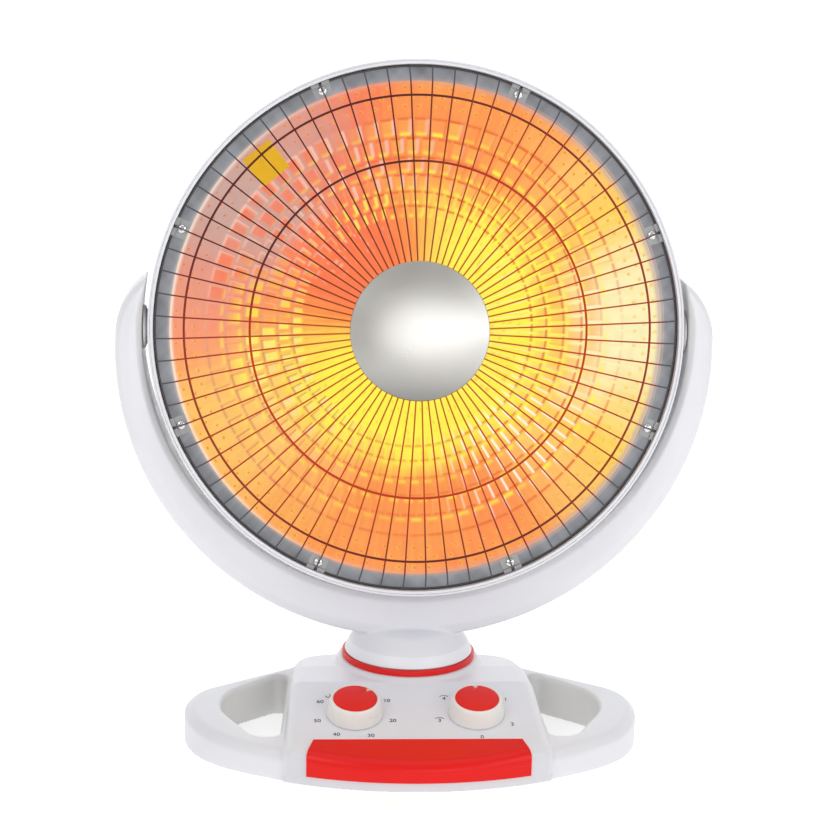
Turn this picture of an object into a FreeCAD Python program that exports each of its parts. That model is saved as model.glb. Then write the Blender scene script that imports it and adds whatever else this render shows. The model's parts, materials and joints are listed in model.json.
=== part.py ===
import FreeCAD, Part
import math
import os

# Parabolic dish heater on an oscillating yoke. Millimetres, +Z up, the front faces -Y.
# The origin is where the swivel axis meets the surface that the heater stands on.

Vec = FreeCAD.Vector
UP = Vec(0, 0, 1)
FRONT = Vec(0, -1, 0)
RIGHT = Vec(1, 0, 0)
REACH = 400.0  # longer than any piece, for cutting tools

# ---- clearances shared by every fit
running_fit = 0.05  # radial, shaft in bush
face_gap = 0.3  # between faces that pass each other
seat_gap = 0.05  # between pieces that are pushed together
screw_fit = 0.1  # radial, screw shank in a hole

# ---- dish and its rim
dish_radius = 171.0  # bright mouth of the reflector
dish_focus = 104.0  # focal length of the parabola
dish_sheet = 1.0
dish_facets = 4
flange_width = 11.1  # flat dull rim round the mouth
bezel_lip = 2.1
bezel_depth = 14.0
bezel_sheet = 1.6
rim_wall = 1.4
housing_wall = 2.4
rim_front = 22.0  # front edge of the rim, ahead of the tilt axis
flange_front = 15.0
rim_ease = 0.6  # taken off the rim's edges
bezel_ledge = 2.5  # thickness of the ring that the dish's flange lies on
rest_tilt = 9.0  # degrees that the dish leans back as it stands

# ---- wire guard
wire_count = 72
wire_side = 1.5
ring_side = 1.8
hoop_side = 1.6
guard_bend_drop = 10.4  # from the hoop in to the bend
guard_bend_rise = 8.4
guard_crown = 14.0  # from the bend to the middle
outer_ring_radius = 161.0
inner_ring_radius = 116.0
hub_ring_radius = 43.0
disc_radius = 48.0
disc_crown = 3.4
disc_shoulder = 38.4
disc_sheet = 1.0
clip_count = 8
clip_sheet = 1.0
clip_half_angle = 2.1
clip_screw_radius = 1.5
clip_screw_head = 3.2
clip_screw_head_height = 1.8
clip_screw_length = 7.0
clip_edge = 0.6  # from the dish's mouth to the clip's tab

# ---- rear housing
dish_to_back = 37.9  # from the middle of the dish to the back of the housing
housing_skirt = 14.0  # straight wall behind the tilt axis
shoulder_in = 9.0
shoulder_back = 21.0
flank_in = 36.0
flank_back = 45.0
hub_radius = 58.0
hub_depth = 8.0
hub_taper = 5.0
vent_count = 18
vent_width = 5.0
vent_length = 34.0
vent_middle_radius = 125.0
bracket_width = 24.0
bracket_height = 30.0
bracket_sheet = 1.8
bracket_foot = 9.0

# ---- heating element
core_radius = 13.5
core_length = 72.0
core_collar = 20.0
coil_wire = 2.0
coil_pitch = 14.0
coil_turns = 4
coil_gap = 0.1
coil_start = 8.0  # from the socket to the first turn
core_plug = 12.0
core_collar_height = 4.0
core_cap_height = 6.0
core_cap_lip = 3.0
core_bevel = 2.0
socket_radius = 22.0
socket_length = 26.0
socket_proud = 4.5  # seat of the flange over the middle of the dish
socket_nose = 7.0
socket_flange = 7.0
socket_flange_sheet = 3.0
bracket_disc_radius = 36.0
bracket_disc_sheet = 1.5
bracket_disc_bore = 6.0
post_inset = 4.0  # from the disc's edge to a post's middle
post_radius = 3.0
post_count = 3
cutout_radius = 8.0
cutout_height = 9.0
cutout_place = 16.0
terminal_size = (30.0, 14.0, 12.0)
terminal_gap = 3.0  # beyond the bracket disc's posts
terminal_well = 2.0

# ---- tilt pivots
pivot_bolt_radius = 6.0
pivot_bolt_head = 9.0
pivot_bolt_head_depth = 4.0
pivot_slot_depth = 1.2
pivot_slot_width = 2.0
pivot_bolt_spare = 1.0  # thread that stands out of the nut
washer_lap = 2.0
pivot_nut_radius = 9.0
pivot_nut_depth = 5.0
bush_flange_radius = 15.0
bush_sleeve_wall = 3.0
bush_clearance = 0.2
bush_dome_width = 4.0
bush_dome_height = 1.4
friction_washer_sheet = 1.0

# ---- yoke
yoke_gap = 4.0  # dish rim to yoke
yoke_side = 19.0
yoke_extra_bottom = 14.0
yoke_depth = 44.0
yoke_wall = 2.5
yoke_outer_round = 10.0
yoke_inner_round = 4.0
yoke_seam = 10.0  # the rear cover starts this far behind the swivel axis
horn_radius = 51.6
horn_drop = 5.0
yoke_screw_angles = (25.0, 65.0)
yoke_boss_radius = 4.5
yoke_screw_radius = 1.5
yoke_screw_head = 3.0
yoke_screw_head_height = 2.0
yoke_screw_floor = 6.0  # left under the screws' tips
cable_bore = 12.0  # radius of the way that the wires take down the neck

# ---- neck
neck_foot_radius = 46.0
neck_bend_in = 6.5  # from the foot of the bell up to its bend
neck_bend_up = 10.5
neck_waist_radius = 31.0
neck_lip = 4.0  # how far the bell laps up the yoke
neck_top_radius = 24.0
neck_height = 13.5  # from the collar to the underside of the yoke
neck_into_yoke = 13.0
neck_tube_radius = 22.0
neck_tube_wall = 5.0
neck_hub_radius = 30.0
neck_skirt = 2.6
neck_shoulder = 1.5  # height of the thrust face over the collar
retainer_sheet = 3.0
retainer_lap = 7.0
retainer_screw_radius = 1.2
retainer_screw_head = 2.6
retainer_screw_head_height = 1.7
retainer_screw_bite = 7.0
retainer_screw_count = 3
neck_screw_radius = 1.7
neck_screw_head = 3.2
neck_screw_place = 23.5
neck_screw_head_height = 2.2
neck_screw_length = 11.0

# ---- base
base_half_width = 160.0
base_half_depth = 98.0
base_end_radius = 70.0
base_middle = -43.0  # the foot reaches further forward than back
base_back_radius = 36.4  # round of each end towards the back
base_back_lean = 30.0  # degrees between the back of a handle loop and the X axis
base_back_meet = 24.0  # where the backs of the loops meet the body, behind the swivel axis
plate_sheet = 3.0
plate_floor = 1.5
plate_rim = 6.0
ring_height = 26.0  # at the middle of the oval
ring_slope = 5.0  # degrees, rising to the back
ring_round = 9.0
ring_second_bevel = 0.35
shell_wall = 2.5
block_proud = 2.0
block_front_half = 93.0
block_back_half = 81.0
block_back_reach = 70.0  # from the middle of the oval to where the block's back width is given
block_height = 44.0
block_round = 8.0
block_back_corner = 40.0
block_crease = -18.0  # the top falls to the back from here
block_back_fall = 12.0  # degrees
panel_slope = 15.0  # degrees
panel_back = -50.0
grip_tip = (16.7, 5.9)  # where the opening's two slanting sides would meet: in from the end, behind the middle
grip_front_lean = 60.0  # degrees between the slanting sides and the X axis
grip_back_lean = 40.0
grip_front = 48.0  # in from the front
grip_tip_round = 33.0
grip_front_round = 14.0
grip_ledge = 4.0
grip_corner = 7.0
grip_chamfer = 2.0
collar_radius = 50.0
collar_step = 2.5
collar_height = 7.0  # over the block
red_ring_radius = 48.0
red_ring_wall = 3.0
trim_proud = 1.2
trim_top_half = 71.0
trim_foot_half = 76.0
trim_back_reach = 25.0  # behind the front of the oval
trim_fold_reach = 11.0
trim_foot = 7.0
boss_radius = 4.5
base_screw_radius = 1.6
base_screw_head = 3.5
base_screw_length = 11.0
base_screw_recess = 0.2
front_screw_inset = (76.0, 29.0)  # in from the end, and from the front
back_screw_place = (62.0, 21.0)  # across, and in from the back
foot_radius = 6.0
front_foot_inset = (29.0, 58.0)  # in from the end, and from the front
back_foot_place = (46.0, 24.0)  # across, and in from the back
grommet_radius = 6.5
grommet_bore = 3.6
grommet_length = 9.0
grommet_height = 14.0
grommet_lip = 1.5

# ---- knobs and what they turn
knob_place = 42.0
knob_line = -86.0
knob_foot_radius = 19.4
knob_top_radius = 17.5
knob_height = 12.4
knob_gap = 0.5
knob_wall = 2.0
knob_hub_radius = 6.0
cap_radius = 15.1
cap_sheet = 1.2
notch_length = 4.0
notch_width = 4.4
timer_pointer = 43.0  # degrees clockwise from the back
mode_pointer = 0.0
shaft_radius = 3.0
shaft_depth = 12.0
control_side = 34.0
control_depth = 16.0
control_bush_wall = 1.4
control_bush_height = 3.0
control_nut_radius = 7.0
control_nut_height = 2.2
tag_pitch = 7.0
tag_width = 3.0
tag_length = 5.0
tag_sheet = 0.8
tag_drop = 8.2
knob_web = 2.0
knob_rim_width = 1.5
knob_rim_drop = 1.6
knob_hub_clearance = 0.6
cap_recess = 0.2  # how far the cap stands over the knob's rim
cap_ease = 0.5

# ---- swing drive
swing_half = 40.0  # degrees each way
lever_radius = 20.0
crank_half = 90.0
motor_radius = 21.0
motor_height = 16.0
motor_foot = 5.0
motor_post_radius = 4.0
motor_ear = 5.0
motor_place_y = -46.0
crank_sheet = 3.0
crank_rim = 4.0
drive_pin_radius = 2.5
motor_shaft_radius = 2.5
motor_shaft_depth = 6.0
motor_ear_sheet = 2.0
motor_stud_radius = 1.5
motor_stud_length = 3.0
motor_clearance = 1.0  # motor to crank disc
motor_offset = 2.0  # the crank pin stands this far inside the lever's pin
pin_spare = 0.8
link_sheet = 2.7
link_eye_radius = 5.0
link_width = 6.0

# ---- tip-over switch
plunger_radius = 3.0
plunger_foot_radius = 5.0
plunger_length = 14.0
plunger_clearance = 1.0  # round the plunger in the floor
tip_place = (-34.0, 16.0)
tip_size = (20.0, 12.0, 16.0)

# ---- worked-out sizes
flange_radius = dish_radius + flange_width
bezel_inner = flange_radius + face_gap
bezel_outer = bezel_inner + bezel_lip
rim_inner = bezel_outer + 0.1
head_radius = rim_inner + rim_wall
bezel_back = rim_front - bezel_depth
flange_back = flange_front - dish_sheet
hoop_radius = flange_radius - hoop_side / 2
hoop_front = flange_front + hoop_side
bend_radius = hoop_radius - guard_bend_drop
bend_front = hoop_front + guard_bend_rise
crown_front = bend_front + guard_crown
clip_riser = hoop_radius - hoop_side / 2 - clip_sheet - seat_gap
clip_screw_place = clip_riser - clip_screw_head - seat_gap

dish_vertex = flange_front - (dish_radius**2 - socket_radius**2) / (4 * dish_focus)
housing_depth = dish_to_back - dish_vertex

yoke_inner = head_radius + yoke_gap
yoke_outer = yoke_inner + yoke_side
block_top = block_height
collar_top = block_top + collar_height
yoke_underside = collar_top + neck_height
pivot_height = yoke_underside + yoke_extra_bottom + yoke_outer
collar_ceiling = collar_top - shell_wall
neck_foot = collar_top + face_gap
neck_bend = (neck_foot_radius - neck_bend_in, neck_foot + neck_bend_up)
retainer_top = collar_ceiling - face_gap - 2 * seat_gap
lever_offset = lever_radius * math.sin(math.radians(swing_half)) / math.sin(math.radians(crank_half))
motor_place = (lever_radius - lever_offset - motor_offset, motor_place_y)
motor_top = plate_sheet + motor_foot + motor_height
crank_bottom = motor_top + motor_clearance
link_bottom = crank_bottom + crank_sheet + face_gap
link_top = link_bottom + link_sheet

base_front = base_middle - base_half_depth
base_back = base_middle + base_half_depth
base_screw_places = ((base_half_width - front_screw_inset[0], base_front + front_screw_inset[1]),
                     (back_screw_place[0], base_back - back_screw_place[1]))
foot_places = ((base_half_width - front_foot_inset[0], base_front + front_foot_inset[1]),
               (back_foot_place[0], base_back - back_foot_place[1]))


# ---- drawing helpers
def head_plane(radius, forward):
    """Half-plane through the dish axis, before the dish leans back."""
    return Vec(radius, -forward, 0)


def neck_plane(radius, height):
    return Vec(radius, 0, height)


def yoke_plane(radius, depth):
    """Half-plane through an axis that runs front to back."""
    return Vec(radius, depth, 0)


def outline(plane, *corners):
    """A face on straight edges through the corners. A pair of pairs is an arc: its middle, then its end."""
    edges = []
    here = first = corners[0]
    for corner in list(corners[1:]) + [first]:
        if isinstance(corner[0], tuple):
            middle, end = corner
            edges.append(Part.Arc(plane(*here), plane(*middle), plane(*end)).toShape())
        else:
            end = corner
            if plane(*here).distanceToPoint(plane(*end)) > 1e-7:
                edges.append(Part.makeLine(plane(*here), plane(*end)))
        here = end
    return Part.Face(Part.Wire(edges))


def turned(plane, axis, *corners):
    return outline(plane, *corners).revolve(Vec(0, 0, 0), axis, 360)


def head_turned(*corners):
    return turned(head_plane, Vec(0, 1, 0), *corners)


def neck_turned(*corners):
    return turned(neck_plane, UP, *corners)


def rod(radius, start, end):
    return Part.makeCylinder(radius, start.distanceToPoint(end), start, end - start)


def flat_rod(radius, start, end, sides=6):
    """A small round drawn with flats, for screws and the holes that take them."""
    along = Vec(end - start).normalize()
    across = along.cross(RIGHT if abs(along.x) < 0.9 else UP).normalize()
    corners = [start + FreeCAD.Rotation(along, 360.0 / sides * turn).multVec(across) * radius
               for turn in range(sides)]
    return Part.Face(Part.makePolygon(corners + corners[:1])).extrude(end - start)


def drawn_in(profile, wall):
    """The other side of a wall that follows a profile of straight runs, to the left of its direction."""
    runs = []
    for (x1, y1), (x2, y2) in zip(profile, profile[1:]):
        length = math.hypot(x2 - x1, y2 - y1)
        runs.append(((x2 - x1) / length, (y2 - y1) / length))
    sides = [runs[0]] + runs + [runs[-1]]
    inner = []
    for (x, y), (ax, ay), (bx, by) in zip(profile, sides, sides[1:]):
        reach = wall / (1 + ax * bx + ay * by)
        inner.append((x - (ay + by) * reach, y + (ax + bx) * reach))
    return inner


def tube(outer, inner, start, end):
    return rod(outer, start, end).cut(rod(inner, start, end))


def box(low, high):
    size = high - low
    return Part.makeBox(size.x, size.y, size.z, low)


def whole(shape):
    """The one solid of a boolean's result."""
    shape = shape.removeSplitter()
    return shape.Solids[0] if len(shape.Solids) == 1 else Part.makeCompound(shape.Solids)


def around(shape, axis, angle, centre=Vec(0, 0, 0)):
    copy = shape.copy()
    copy.rotate(centre, axis, angle)
    return copy


def mirrored(shape):
    return shape.mirror(Vec(0, 0, 0), RIGHT)


def both_sides(shape):
    return [shape, mirrored(shape)]


def screw(seat, direction, radius, head_radius_, head_height, length):
    """A round-headed screw whose head sits on the seat and whose shank runs along the direction."""
    head = flat_rod(head_radius_, seat - direction * head_height, seat, 8)
    return whole(head.fuse(flat_rod(radius, seat, seat + direction * length)))


# ---- head
def dish_depth_at(radius):
    """How far ahead of the tilt axis the bright face lies at a radius."""
    return flange_front - (dish_radius**2 - radius**2) / (4 * dish_focus)


def dish_slope_at(radius):
    return math.atan(radius / (2 * dish_focus))


def reflector():
    mouth_to_socket = dish_radius - socket_radius
    bright = []
    for step in range(dish_facets + 1):
        radius = dish_radius - mouth_to_socket * step / dish_facets
        bright.append((radius, dish_depth_at(radius)))
    back = []
    for radius, forward in reversed(bright[1:]):
        lean = dish_slope_at(radius)
        back.append((radius + dish_sheet * math.sin(lean), forward - dish_sheet * math.cos(lean)))
    back[0] = (socket_radius, bright[-1][1] - dish_sheet)
    shell = head_turned((flange_radius, flange_front), *bright, *back,
                        (dish_radius + dish_sheet, flange_back), (flange_radius, flange_back))
    return whole(shell.cut(clip_screw_holes()))


def clip_angles():
    return [360.0 / clip_count * (turn + 0.5) for turn in range(clip_count)]


def clip_screw_hole():
    return flat_rod(clip_screw_radius + screw_fit, head_plane(clip_screw_place, 0),
                    head_plane(clip_screw_place, rim_front))


def clip_screw_holes():
    return Part.makeCompound([around(clip_screw_hole(), FRONT, angle) for angle in clip_angles()])


def front_bezel():
    ledge_back = flange_back - bezel_ledge
    ledge_inner = dish_radius + dish_sheet + face_gap
    ring = head_turned((bezel_inner, rim_front), (bezel_outer, rim_front - rim_ease),
                       (bezel_outer, bezel_back), (bezel_outer - bezel_sheet, bezel_back),
                       (bezel_outer - bezel_sheet, ledge_back), (ledge_inner, ledge_back),
                       (ledge_inner, flange_back), (bezel_inner, flange_back))
    return whole(ring.cut(clip_screw_holes()))


def rear_housing():
    """A bowl of conical bands with a raised hub, a ring of radial vents and a hole at each pivot."""
    back = -housing_depth
    outside = [(0, back), (hub_radius, back), (hub_radius + hub_taper, back + hub_depth),
               (head_radius - flank_in, -housing_skirt - flank_back),
               (head_radius - shoulder_in, -housing_skirt - shoulder_back),
               (head_radius, -housing_skirt), (head_radius, bezel_back)]
    inside = drawn_in(outside, housing_wall)
    bowl = head_turned(*outside, (head_radius, rim_front - rim_ease), (rim_inner, rim_front),
                       (rim_inner, bezel_back), *reversed(inside))
    slot_low = head_plane(vent_middle_radius - vent_length / 2, 0) - Vec(0, 0, vent_width / 2)
    slot_high = head_plane(vent_middle_radius + vent_length / 2, -housing_depth) + Vec(0, 0, vent_width / 2)
    slot = box(slot_low, slot_high)
    vents = [around(slot, FRONT, 360.0 / vent_count * turn) for turn in range(vent_count)]
    pivots = rod(pivot_bolt_radius + screw_fit, RIGHT * -REACH, RIGHT * REACH)
    return whole(bowl.cut(Part.makeCompound(vents)).cut(pivots))


def guard_wire():
    """One radial wire: up from the hoop, over the bend, then in to the middle."""
    half = wire_side / 2
    foot = (hoop_radius, hoop_front + seat_gap)
    bend = (bend_radius, bend_front)
    tip = (hub_ring_radius, crown_front)
    wire = outline(head_plane, foot, (foot[0] + half, foot[1] + half),
                   (bend[0] + half, bend[1] + wire_side), (tip[0], tip[1] + wire_side),
                   tip, bend)
    wire = wire.extrude(UP * wire_side)
    wire.translate(UP * -half)
    return wire


def guard_radial_wires():
    wire = guard_wire()
    return Part.makeCompound([around(wire, FRONT, 360.0 / wire_count * (turn + 0.5))
                              for turn in range(wire_count)])


def wire_back_at(radius):
    """The back face of a radial wire, ahead of the tilt axis."""
    return bend_front + (bend_radius - radius) / (bend_radius - hub_ring_radius) * guard_crown


def guard_rings():
    rings = []
    for radius in (outer_ring_radius, inner_ring_radius, hub_ring_radius + ring_side):
        front = wire_back_at(radius + ring_side / 2) - seat_gap
        half = ring_side / 2
        rings.append(head_turned((radius + half, front), (radius - half, front),
                                 (radius - half, front - ring_side), (radius + half, front - ring_side)))
    return Part.makeCompound(rings)


def guard_hoop():
    half = hoop_side / 2
    low = flange_front + seat_gap
    return head_turned((hoop_radius + half, hoop_front), (hoop_radius - half, hoop_front),
                       (hoop_radius - half, low), (hoop_radius + half, low))


def guard_disc():
    back = crown_front + wire_side + seat_gap
    return head_turned((disc_radius, back), (disc_radius, back + disc_sheet),
                       (disc_shoulder, back + disc_crown), (0, back + disc_crown + disc_sheet),
                       (0, back + disc_crown), (disc_shoulder, back + disc_crown - disc_sheet))


def guard_clips():
    """Formed straps: a tab on the rim, a step up, and a lip over the hoop."""
    low = flange_front + seat_gap
    tab_top = low + clip_sheet
    lip_low = hoop_front + seat_gap
    lip_edge = flange_radius - seat_gap
    tab_edge = dish_radius + clip_edge
    section = outline(head_plane, (tab_edge, low), (clip_riser + clip_sheet, low),
                      (clip_riser + clip_sheet, lip_low), (lip_edge, lip_low),
                      (lip_edge, lip_low + clip_sheet), (clip_riser, lip_low + clip_sheet),
                      (clip_riser, tab_top), (tab_edge, tab_top))
    section.rotate(Vec(0, 0, 0), FRONT, -clip_half_angle)
    clip = section.revolve(Vec(0, 0, 0), FRONT, clip_half_angle * 2)
    clip = clip.cut([clip_screw_hole(), clip_wire_slot(tab_top)])
    return Part.makeCompound([around(clip, FRONT, angle) for angle in clip_angles()])


def clip_wire_slot(low):
    """The opening in a clip's riser and lip for the wire that crosses it."""
    half = wire_side / 2 + face_gap
    start = clip_riser - seat_gap
    side = outline(head_plane, (start, low), (flange_radius, low),
                   (flange_radius, bend_front), (start, bend_front))
    side.translate(UP * -half)
    return side.extrude(UP * (2 * half))


def clip_screws():
    seat = head_plane(clip_screw_place, flange_front + clip_sheet + 2 * seat_gap)
    one = screw(seat, Vec(0, 1, 0), clip_screw_radius, clip_screw_head,
                clip_screw_head_height, clip_screw_length)
    return Part.makeCompound([around(one, FRONT, angle) for angle in clip_angles()])


def heater_socket():
    """Ceramic holder through the middle of the dish, with a flange on its bright face."""
    seat = dish_vertex + socket_proud
    nose = seat + socket_nose
    bore = core_plug_radius()
    neck = socket_radius - face_gap
    lip = socket_radius + socket_flange
    return head_turned((lip, seat), (lip, seat + socket_flange_sheet), (socket_radius - core_bevel, nose),
                       (bore, nose), (bore, nose - socket_length), (neck, nose - socket_length), (neck, seat))


def core_plug_radius():
    return core_radius - core_cap_lip


def socket_seat():
    return dish_vertex + socket_proud + socket_nose + seat_gap


def heater_core():
    """Ceramic former: a collar in the socket, a long body for the coil, and a domed end."""
    low = socket_seat()
    high = low + core_length
    plug = core_plug_radius() - seat_gap
    cap = core_radius + core_cap_lip
    return head_turned((0, low - core_plug), (plug, low - core_plug), (plug, low), (core_collar, low),
                       (core_collar, low + core_collar_height),
                       (core_radius, low + core_collar_height + core_bevel),
                       (core_radius, high - core_cap_height), (cap, high - core_cap_height),
                       (cap, high - core_bevel), (core_radius - core_bevel, high), (0, high))


def heating_coil():
    """A helix of square wire wound on the former."""
    mean = core_radius + coil_wire / 2 + coil_gap
    path = Part.makeHelix(coil_pitch, coil_pitch * coil_turns, mean)
    half = coil_wire / 2
    corners = [Vec(mean - half, 0, -half), Vec(mean + half, 0, -half),
               Vec(mean + half, 0, half), Vec(mean - half, 0, half)]
    section = Part.makePolygon(corners + corners[:1])
    coil = Part.Wire(path).makePipeShell([section], True, True)
    coil.rotate(Vec(0, 0, 0), RIGHT, 90)
    coil.translate(FRONT * (socket_seat() + coil_start))
    return coil.Solids[0] if coil.Solids else Part.Solid(coil)


def bracket_forward():
    return dish_vertex + socket_proud + socket_nose - socket_length - seat_gap


def post_angles():
    return [360.0 / post_count * (turn + 0.25) for turn in range(post_count)]


def socket_bracket():
    """Steel disc behind the socket, carried by three posts from the back of the housing."""
    front = bracket_forward()
    back = front - bracket_disc_sheet
    return head_turned((bracket_disc_bore, front), (bracket_disc_radius, front), (bracket_disc_radius, back),
                       (bracket_disc_bore, back))


def bracket_posts():
    place = bracket_disc_radius - post_inset
    post = rod(post_radius, head_plane(place, housing_wall - housing_depth),
               head_plane(place, bracket_forward() - bracket_disc_sheet - seat_gap))
    return Part.makeCompound([around(post, FRONT, angle) for angle in post_angles()])


def thermal_cutout():
    front = bracket_forward() - bracket_disc_sheet - seat_gap
    back = front - cutout_height
    return rod(cutout_radius, head_plane(cutout_place, back), head_plane(cutout_place, front))


def terminal_block():
    wide, deep, tall = terminal_size
    back = housing_wall - housing_depth + seat_gap
    side = -bracket_disc_radius - terminal_gap - wide / 2
    block = box(head_plane(side, back + deep) - UP * (tall / 2),
                head_plane(side + wide, back) + UP * (tall / 2))
    wells = [rod(terminal_well, head_plane(side + wide * share, back + deep / 2),
                 head_plane(side + wide * share, REACH)) for share in (0.2, 0.5, 0.8)]
    return whole(block.cut(Part.makeCompound(wells)))


def bracket_outer():
    """Distance from the dish axis at which the flat pivot brackets clear the round wall."""
    half = bracket_height / 2
    return math.sqrt((head_radius - housing_wall) ** 2 - half**2) - 2 * seat_gap


def pivot_brackets():
    """Angle brackets inside the side walls that carry the pivot bolts."""
    out = bracket_outer()
    half = bracket_width / 2
    front = face_gap - bezel_back
    plate = box(Vec(out - bracket_sheet, front, -bracket_height / 2), Vec(out, half, bracket_height / 2))
    foot = box(Vec(out - bracket_foot, half - bracket_sheet, -bracket_height / 2),
               Vec(out, half, bracket_height / 2))
    hole = rod(pivot_bolt_radius + screw_fit, Vec(0, 0, 0), RIGHT * REACH)
    return Part.makeCompound(both_sides(whole(plate.fuse(foot).cut(hole))))


def pivot_nuts():
    face = bracket_outer() - bracket_sheet - seat_gap
    corners = [Vec(face, pivot_nut_radius * math.cos(math.radians(60 * turn)),
                   pivot_nut_radius * math.sin(math.radians(60 * turn))) for turn in range(6)]
    body = Part.Face(Part.makePolygon(corners + corners[:1])).extrude(RIGHT * -pivot_nut_depth)
    bore = rod(pivot_bolt_radius + screw_fit, Vec(0, 0, 0), RIGHT * REACH)
    return Part.makeCompound(both_sides(whole(body.cut(bore))))


def washer_face():
    return yoke_inner + yoke_wall + face_gap


def friction_washers():
    one = tube(pivot_bolt_head + washer_lap, pivot_bolt_radius + screw_fit, RIGHT * washer_face(),
               RIGHT * (washer_face() + friction_washer_sheet))
    return Part.makeCompound(both_sides(one))


def pivot_bolts():
    """Shoulder bolts: the head inside the horn, the shank through the bush into the nut."""
    head_low = washer_face() + friction_washer_sheet + seat_gap
    head = rod(pivot_bolt_head, RIGHT * head_low, RIGHT * (head_low + pivot_bolt_head_depth))
    tip = bracket_outer() - bracket_sheet - pivot_nut_depth - pivot_bolt_spare
    shank = rod(pivot_bolt_radius, RIGHT * tip, RIGHT * head_low)
    slot = box(Vec(head_low + pivot_bolt_head_depth - pivot_slot_depth, -pivot_slot_width / 2, -REACH),
               Vec(REACH, pivot_slot_width / 2, REACH))
    return Part.makeCompound(both_sides(whole(head.fuse(shank).cut(slot))))


# ---- yoke
def round_cutter(radius, depth, flare):
    """A through hole along Y whose mouths flare outwards."""
    half = depth / 2
    beyond = half + 5.0
    return turned(yoke_plane, Vec(0, 1, 0), (0, -beyond), (radius + flare, -beyond),
                  (radius + flare, -half), (radius, -half + flare), (radius, half - flare),
                  (radius + flare, half), (radius + flare, beyond), (0, beyond))


def round_disc(radius, depth, edge):
    """A disc about Y with both rims eased by two bevels."""
    half = depth / 2
    eased = edge * (1 - math.cos(math.radians(45)))
    return turned(yoke_plane, Vec(0, 1, 0), (0, -half), (radius - edge, -half),
                  (radius - eased, -half + eased), (radius, -half + edge), (radius, half - edge),
                  (radius - eased, half - eased), (radius - edge, half), (0, half))


def yoke_form(inset):
    """The crescent and its horns about the tilt axis, drawn in by the inset."""
    depth = yoke_depth - 2 * inset
    edge = yoke_outer_round - inset
    crescent = round_disc(yoke_outer - inset, depth, edge)
    crescent.translate(UP * -yoke_extra_bottom)
    split = -horn_drop
    crescent = crescent.common(box(Vec(-REACH, -REACH, -REACH), Vec(REACH, REACH, split)))
    horn = round_disc(horn_radius - inset, depth, edge)
    outer_at_split = math.sqrt(yoke_outer**2 - (yoke_extra_bottom - horn_drop) ** 2)
    horn.translate(Vec(outer_at_split - horn_radius, 0, split))
    horn = horn.common(box(Vec(0, -REACH, split), Vec(REACH, REACH, REACH)))
    hole = round_cutter(yoke_inner + inset, depth, max(yoke_inner_round - inset, 0.5))
    body = crescent.fuse([horn, mirrored(horn)]).removeSplitter().cut(hole)
    body.translate(UP * pivot_height)
    return whole(body)


def yoke_middle(angle):
    """The middle of the crescent at an angle from straight down."""
    lean = math.radians(angle)
    reach = yoke_extra_bottom * math.cos(lean)
    reach += math.sqrt(yoke_outer**2 - (yoke_extra_bottom * math.sin(lean)) ** 2)
    radius = (yoke_inner + reach) / 2
    return Vec(radius * math.sin(lean), 0, pivot_height - radius * math.cos(lean))


def yoke_screw_places():
    places = []
    for angle in yoke_screw_angles:
        places += [yoke_middle(angle), yoke_middle(-angle)]
    return places


def yoke_shell():
    return yoke_form(0).cut(yoke_form(yoke_wall))


def neck_screw_points():
    """Where the two screws from the yoke into the neck stand, on the inside of the yoke's bottom wall."""
    reach = neck_screw_place + neck_screw_head
    height = pivot_height - yoke_extra_bottom - math.sqrt((yoke_outer - yoke_wall) ** 2 - reach**2)
    return [Vec(side * neck_screw_place, 0, height + seat_gap) for side in (-1, 1)]


def neck_screw_hole(point):
    return flat_rod(neck_screw_radius + screw_fit, point - UP * (neck_screw_length + 2.0), point + UP)


def yoke_front():
    front = box(Vec(-REACH, -REACH, 0), Vec(REACH, yoke_seam, 2 * REACH))
    body = yoke_shell().common(front)
    inside = yoke_depth / 2 - yoke_wall
    bosses = [rod(yoke_boss_radius, place + Vec(0, -inside - yoke_wall / 2, 0), place + Vec(0, yoke_seam, 0))
              for place in yoke_screw_places()]
    body = body.fuse(bosses)
    tip = yoke_screw_floor - inside - yoke_wall / 2
    holes = [flat_rod(yoke_screw_radius + screw_fit, place + Vec(0, tip, 0), place + Vec(0, REACH, 0))
             for place in yoke_screw_places()]
    horn_wall = yoke_inner + 2 * yoke_wall
    holes.append(rod(bush_hole_radius(), Vec(-horn_wall, 0, pivot_height), Vec(horn_wall, 0, pivot_height)))
    holes.append(rod(cable_bore, Vec(0, 0, 0), Vec(0, 0, yoke_underside + 2 * yoke_wall)))
    holes += [neck_screw_hole(point) for point in neck_screw_points()]
    return whole(body.cut(Part.makeCompound(holes)))


def yoke_rear_cover():
    rear = box(Vec(-REACH, yoke_seam, 0), Vec(REACH, REACH, 2 * REACH))
    body = yoke_shell().common(rear)
    inside = yoke_depth / 2 - yoke_wall
    pads = [rod(yoke_boss_radius, place + Vec(0, yoke_seam, 0), place + Vec(0, inside + yoke_wall / 2, 0))
            for place in yoke_screw_places()]
    body = body.fuse(pads)
    holes = [flat_rod(yoke_screw_radius + screw_fit, place, place + Vec(0, REACH, 0))
             for place in yoke_screw_places()]
    well = yoke_screw_head + face_gap + screw_fit
    wells = [flat_rod(well, place + Vec(0, inside, 0), place + Vec(0, REACH, 0), 8)
             for place in yoke_screw_places()]
    return whole(body.cut(Part.makeCompound(holes)).cut(Part.makeCompound(wells)))


def yoke_screws():
    inside = yoke_depth / 2 - yoke_wall
    one = screw(Vec(0, inside, 0), FRONT, yoke_screw_radius, yoke_screw_head, yoke_screw_head_height,
                2 * inside - yoke_screw_floor)
    screws = []
    for place in yoke_screw_places():
        copy = one.copy()
        copy.translate(place)
        screws.append(copy)
    return Part.makeCompound(screws)


def bush_hole_radius():
    return pivot_bolt_radius + running_fit + bush_sleeve_wall + seat_gap


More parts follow.
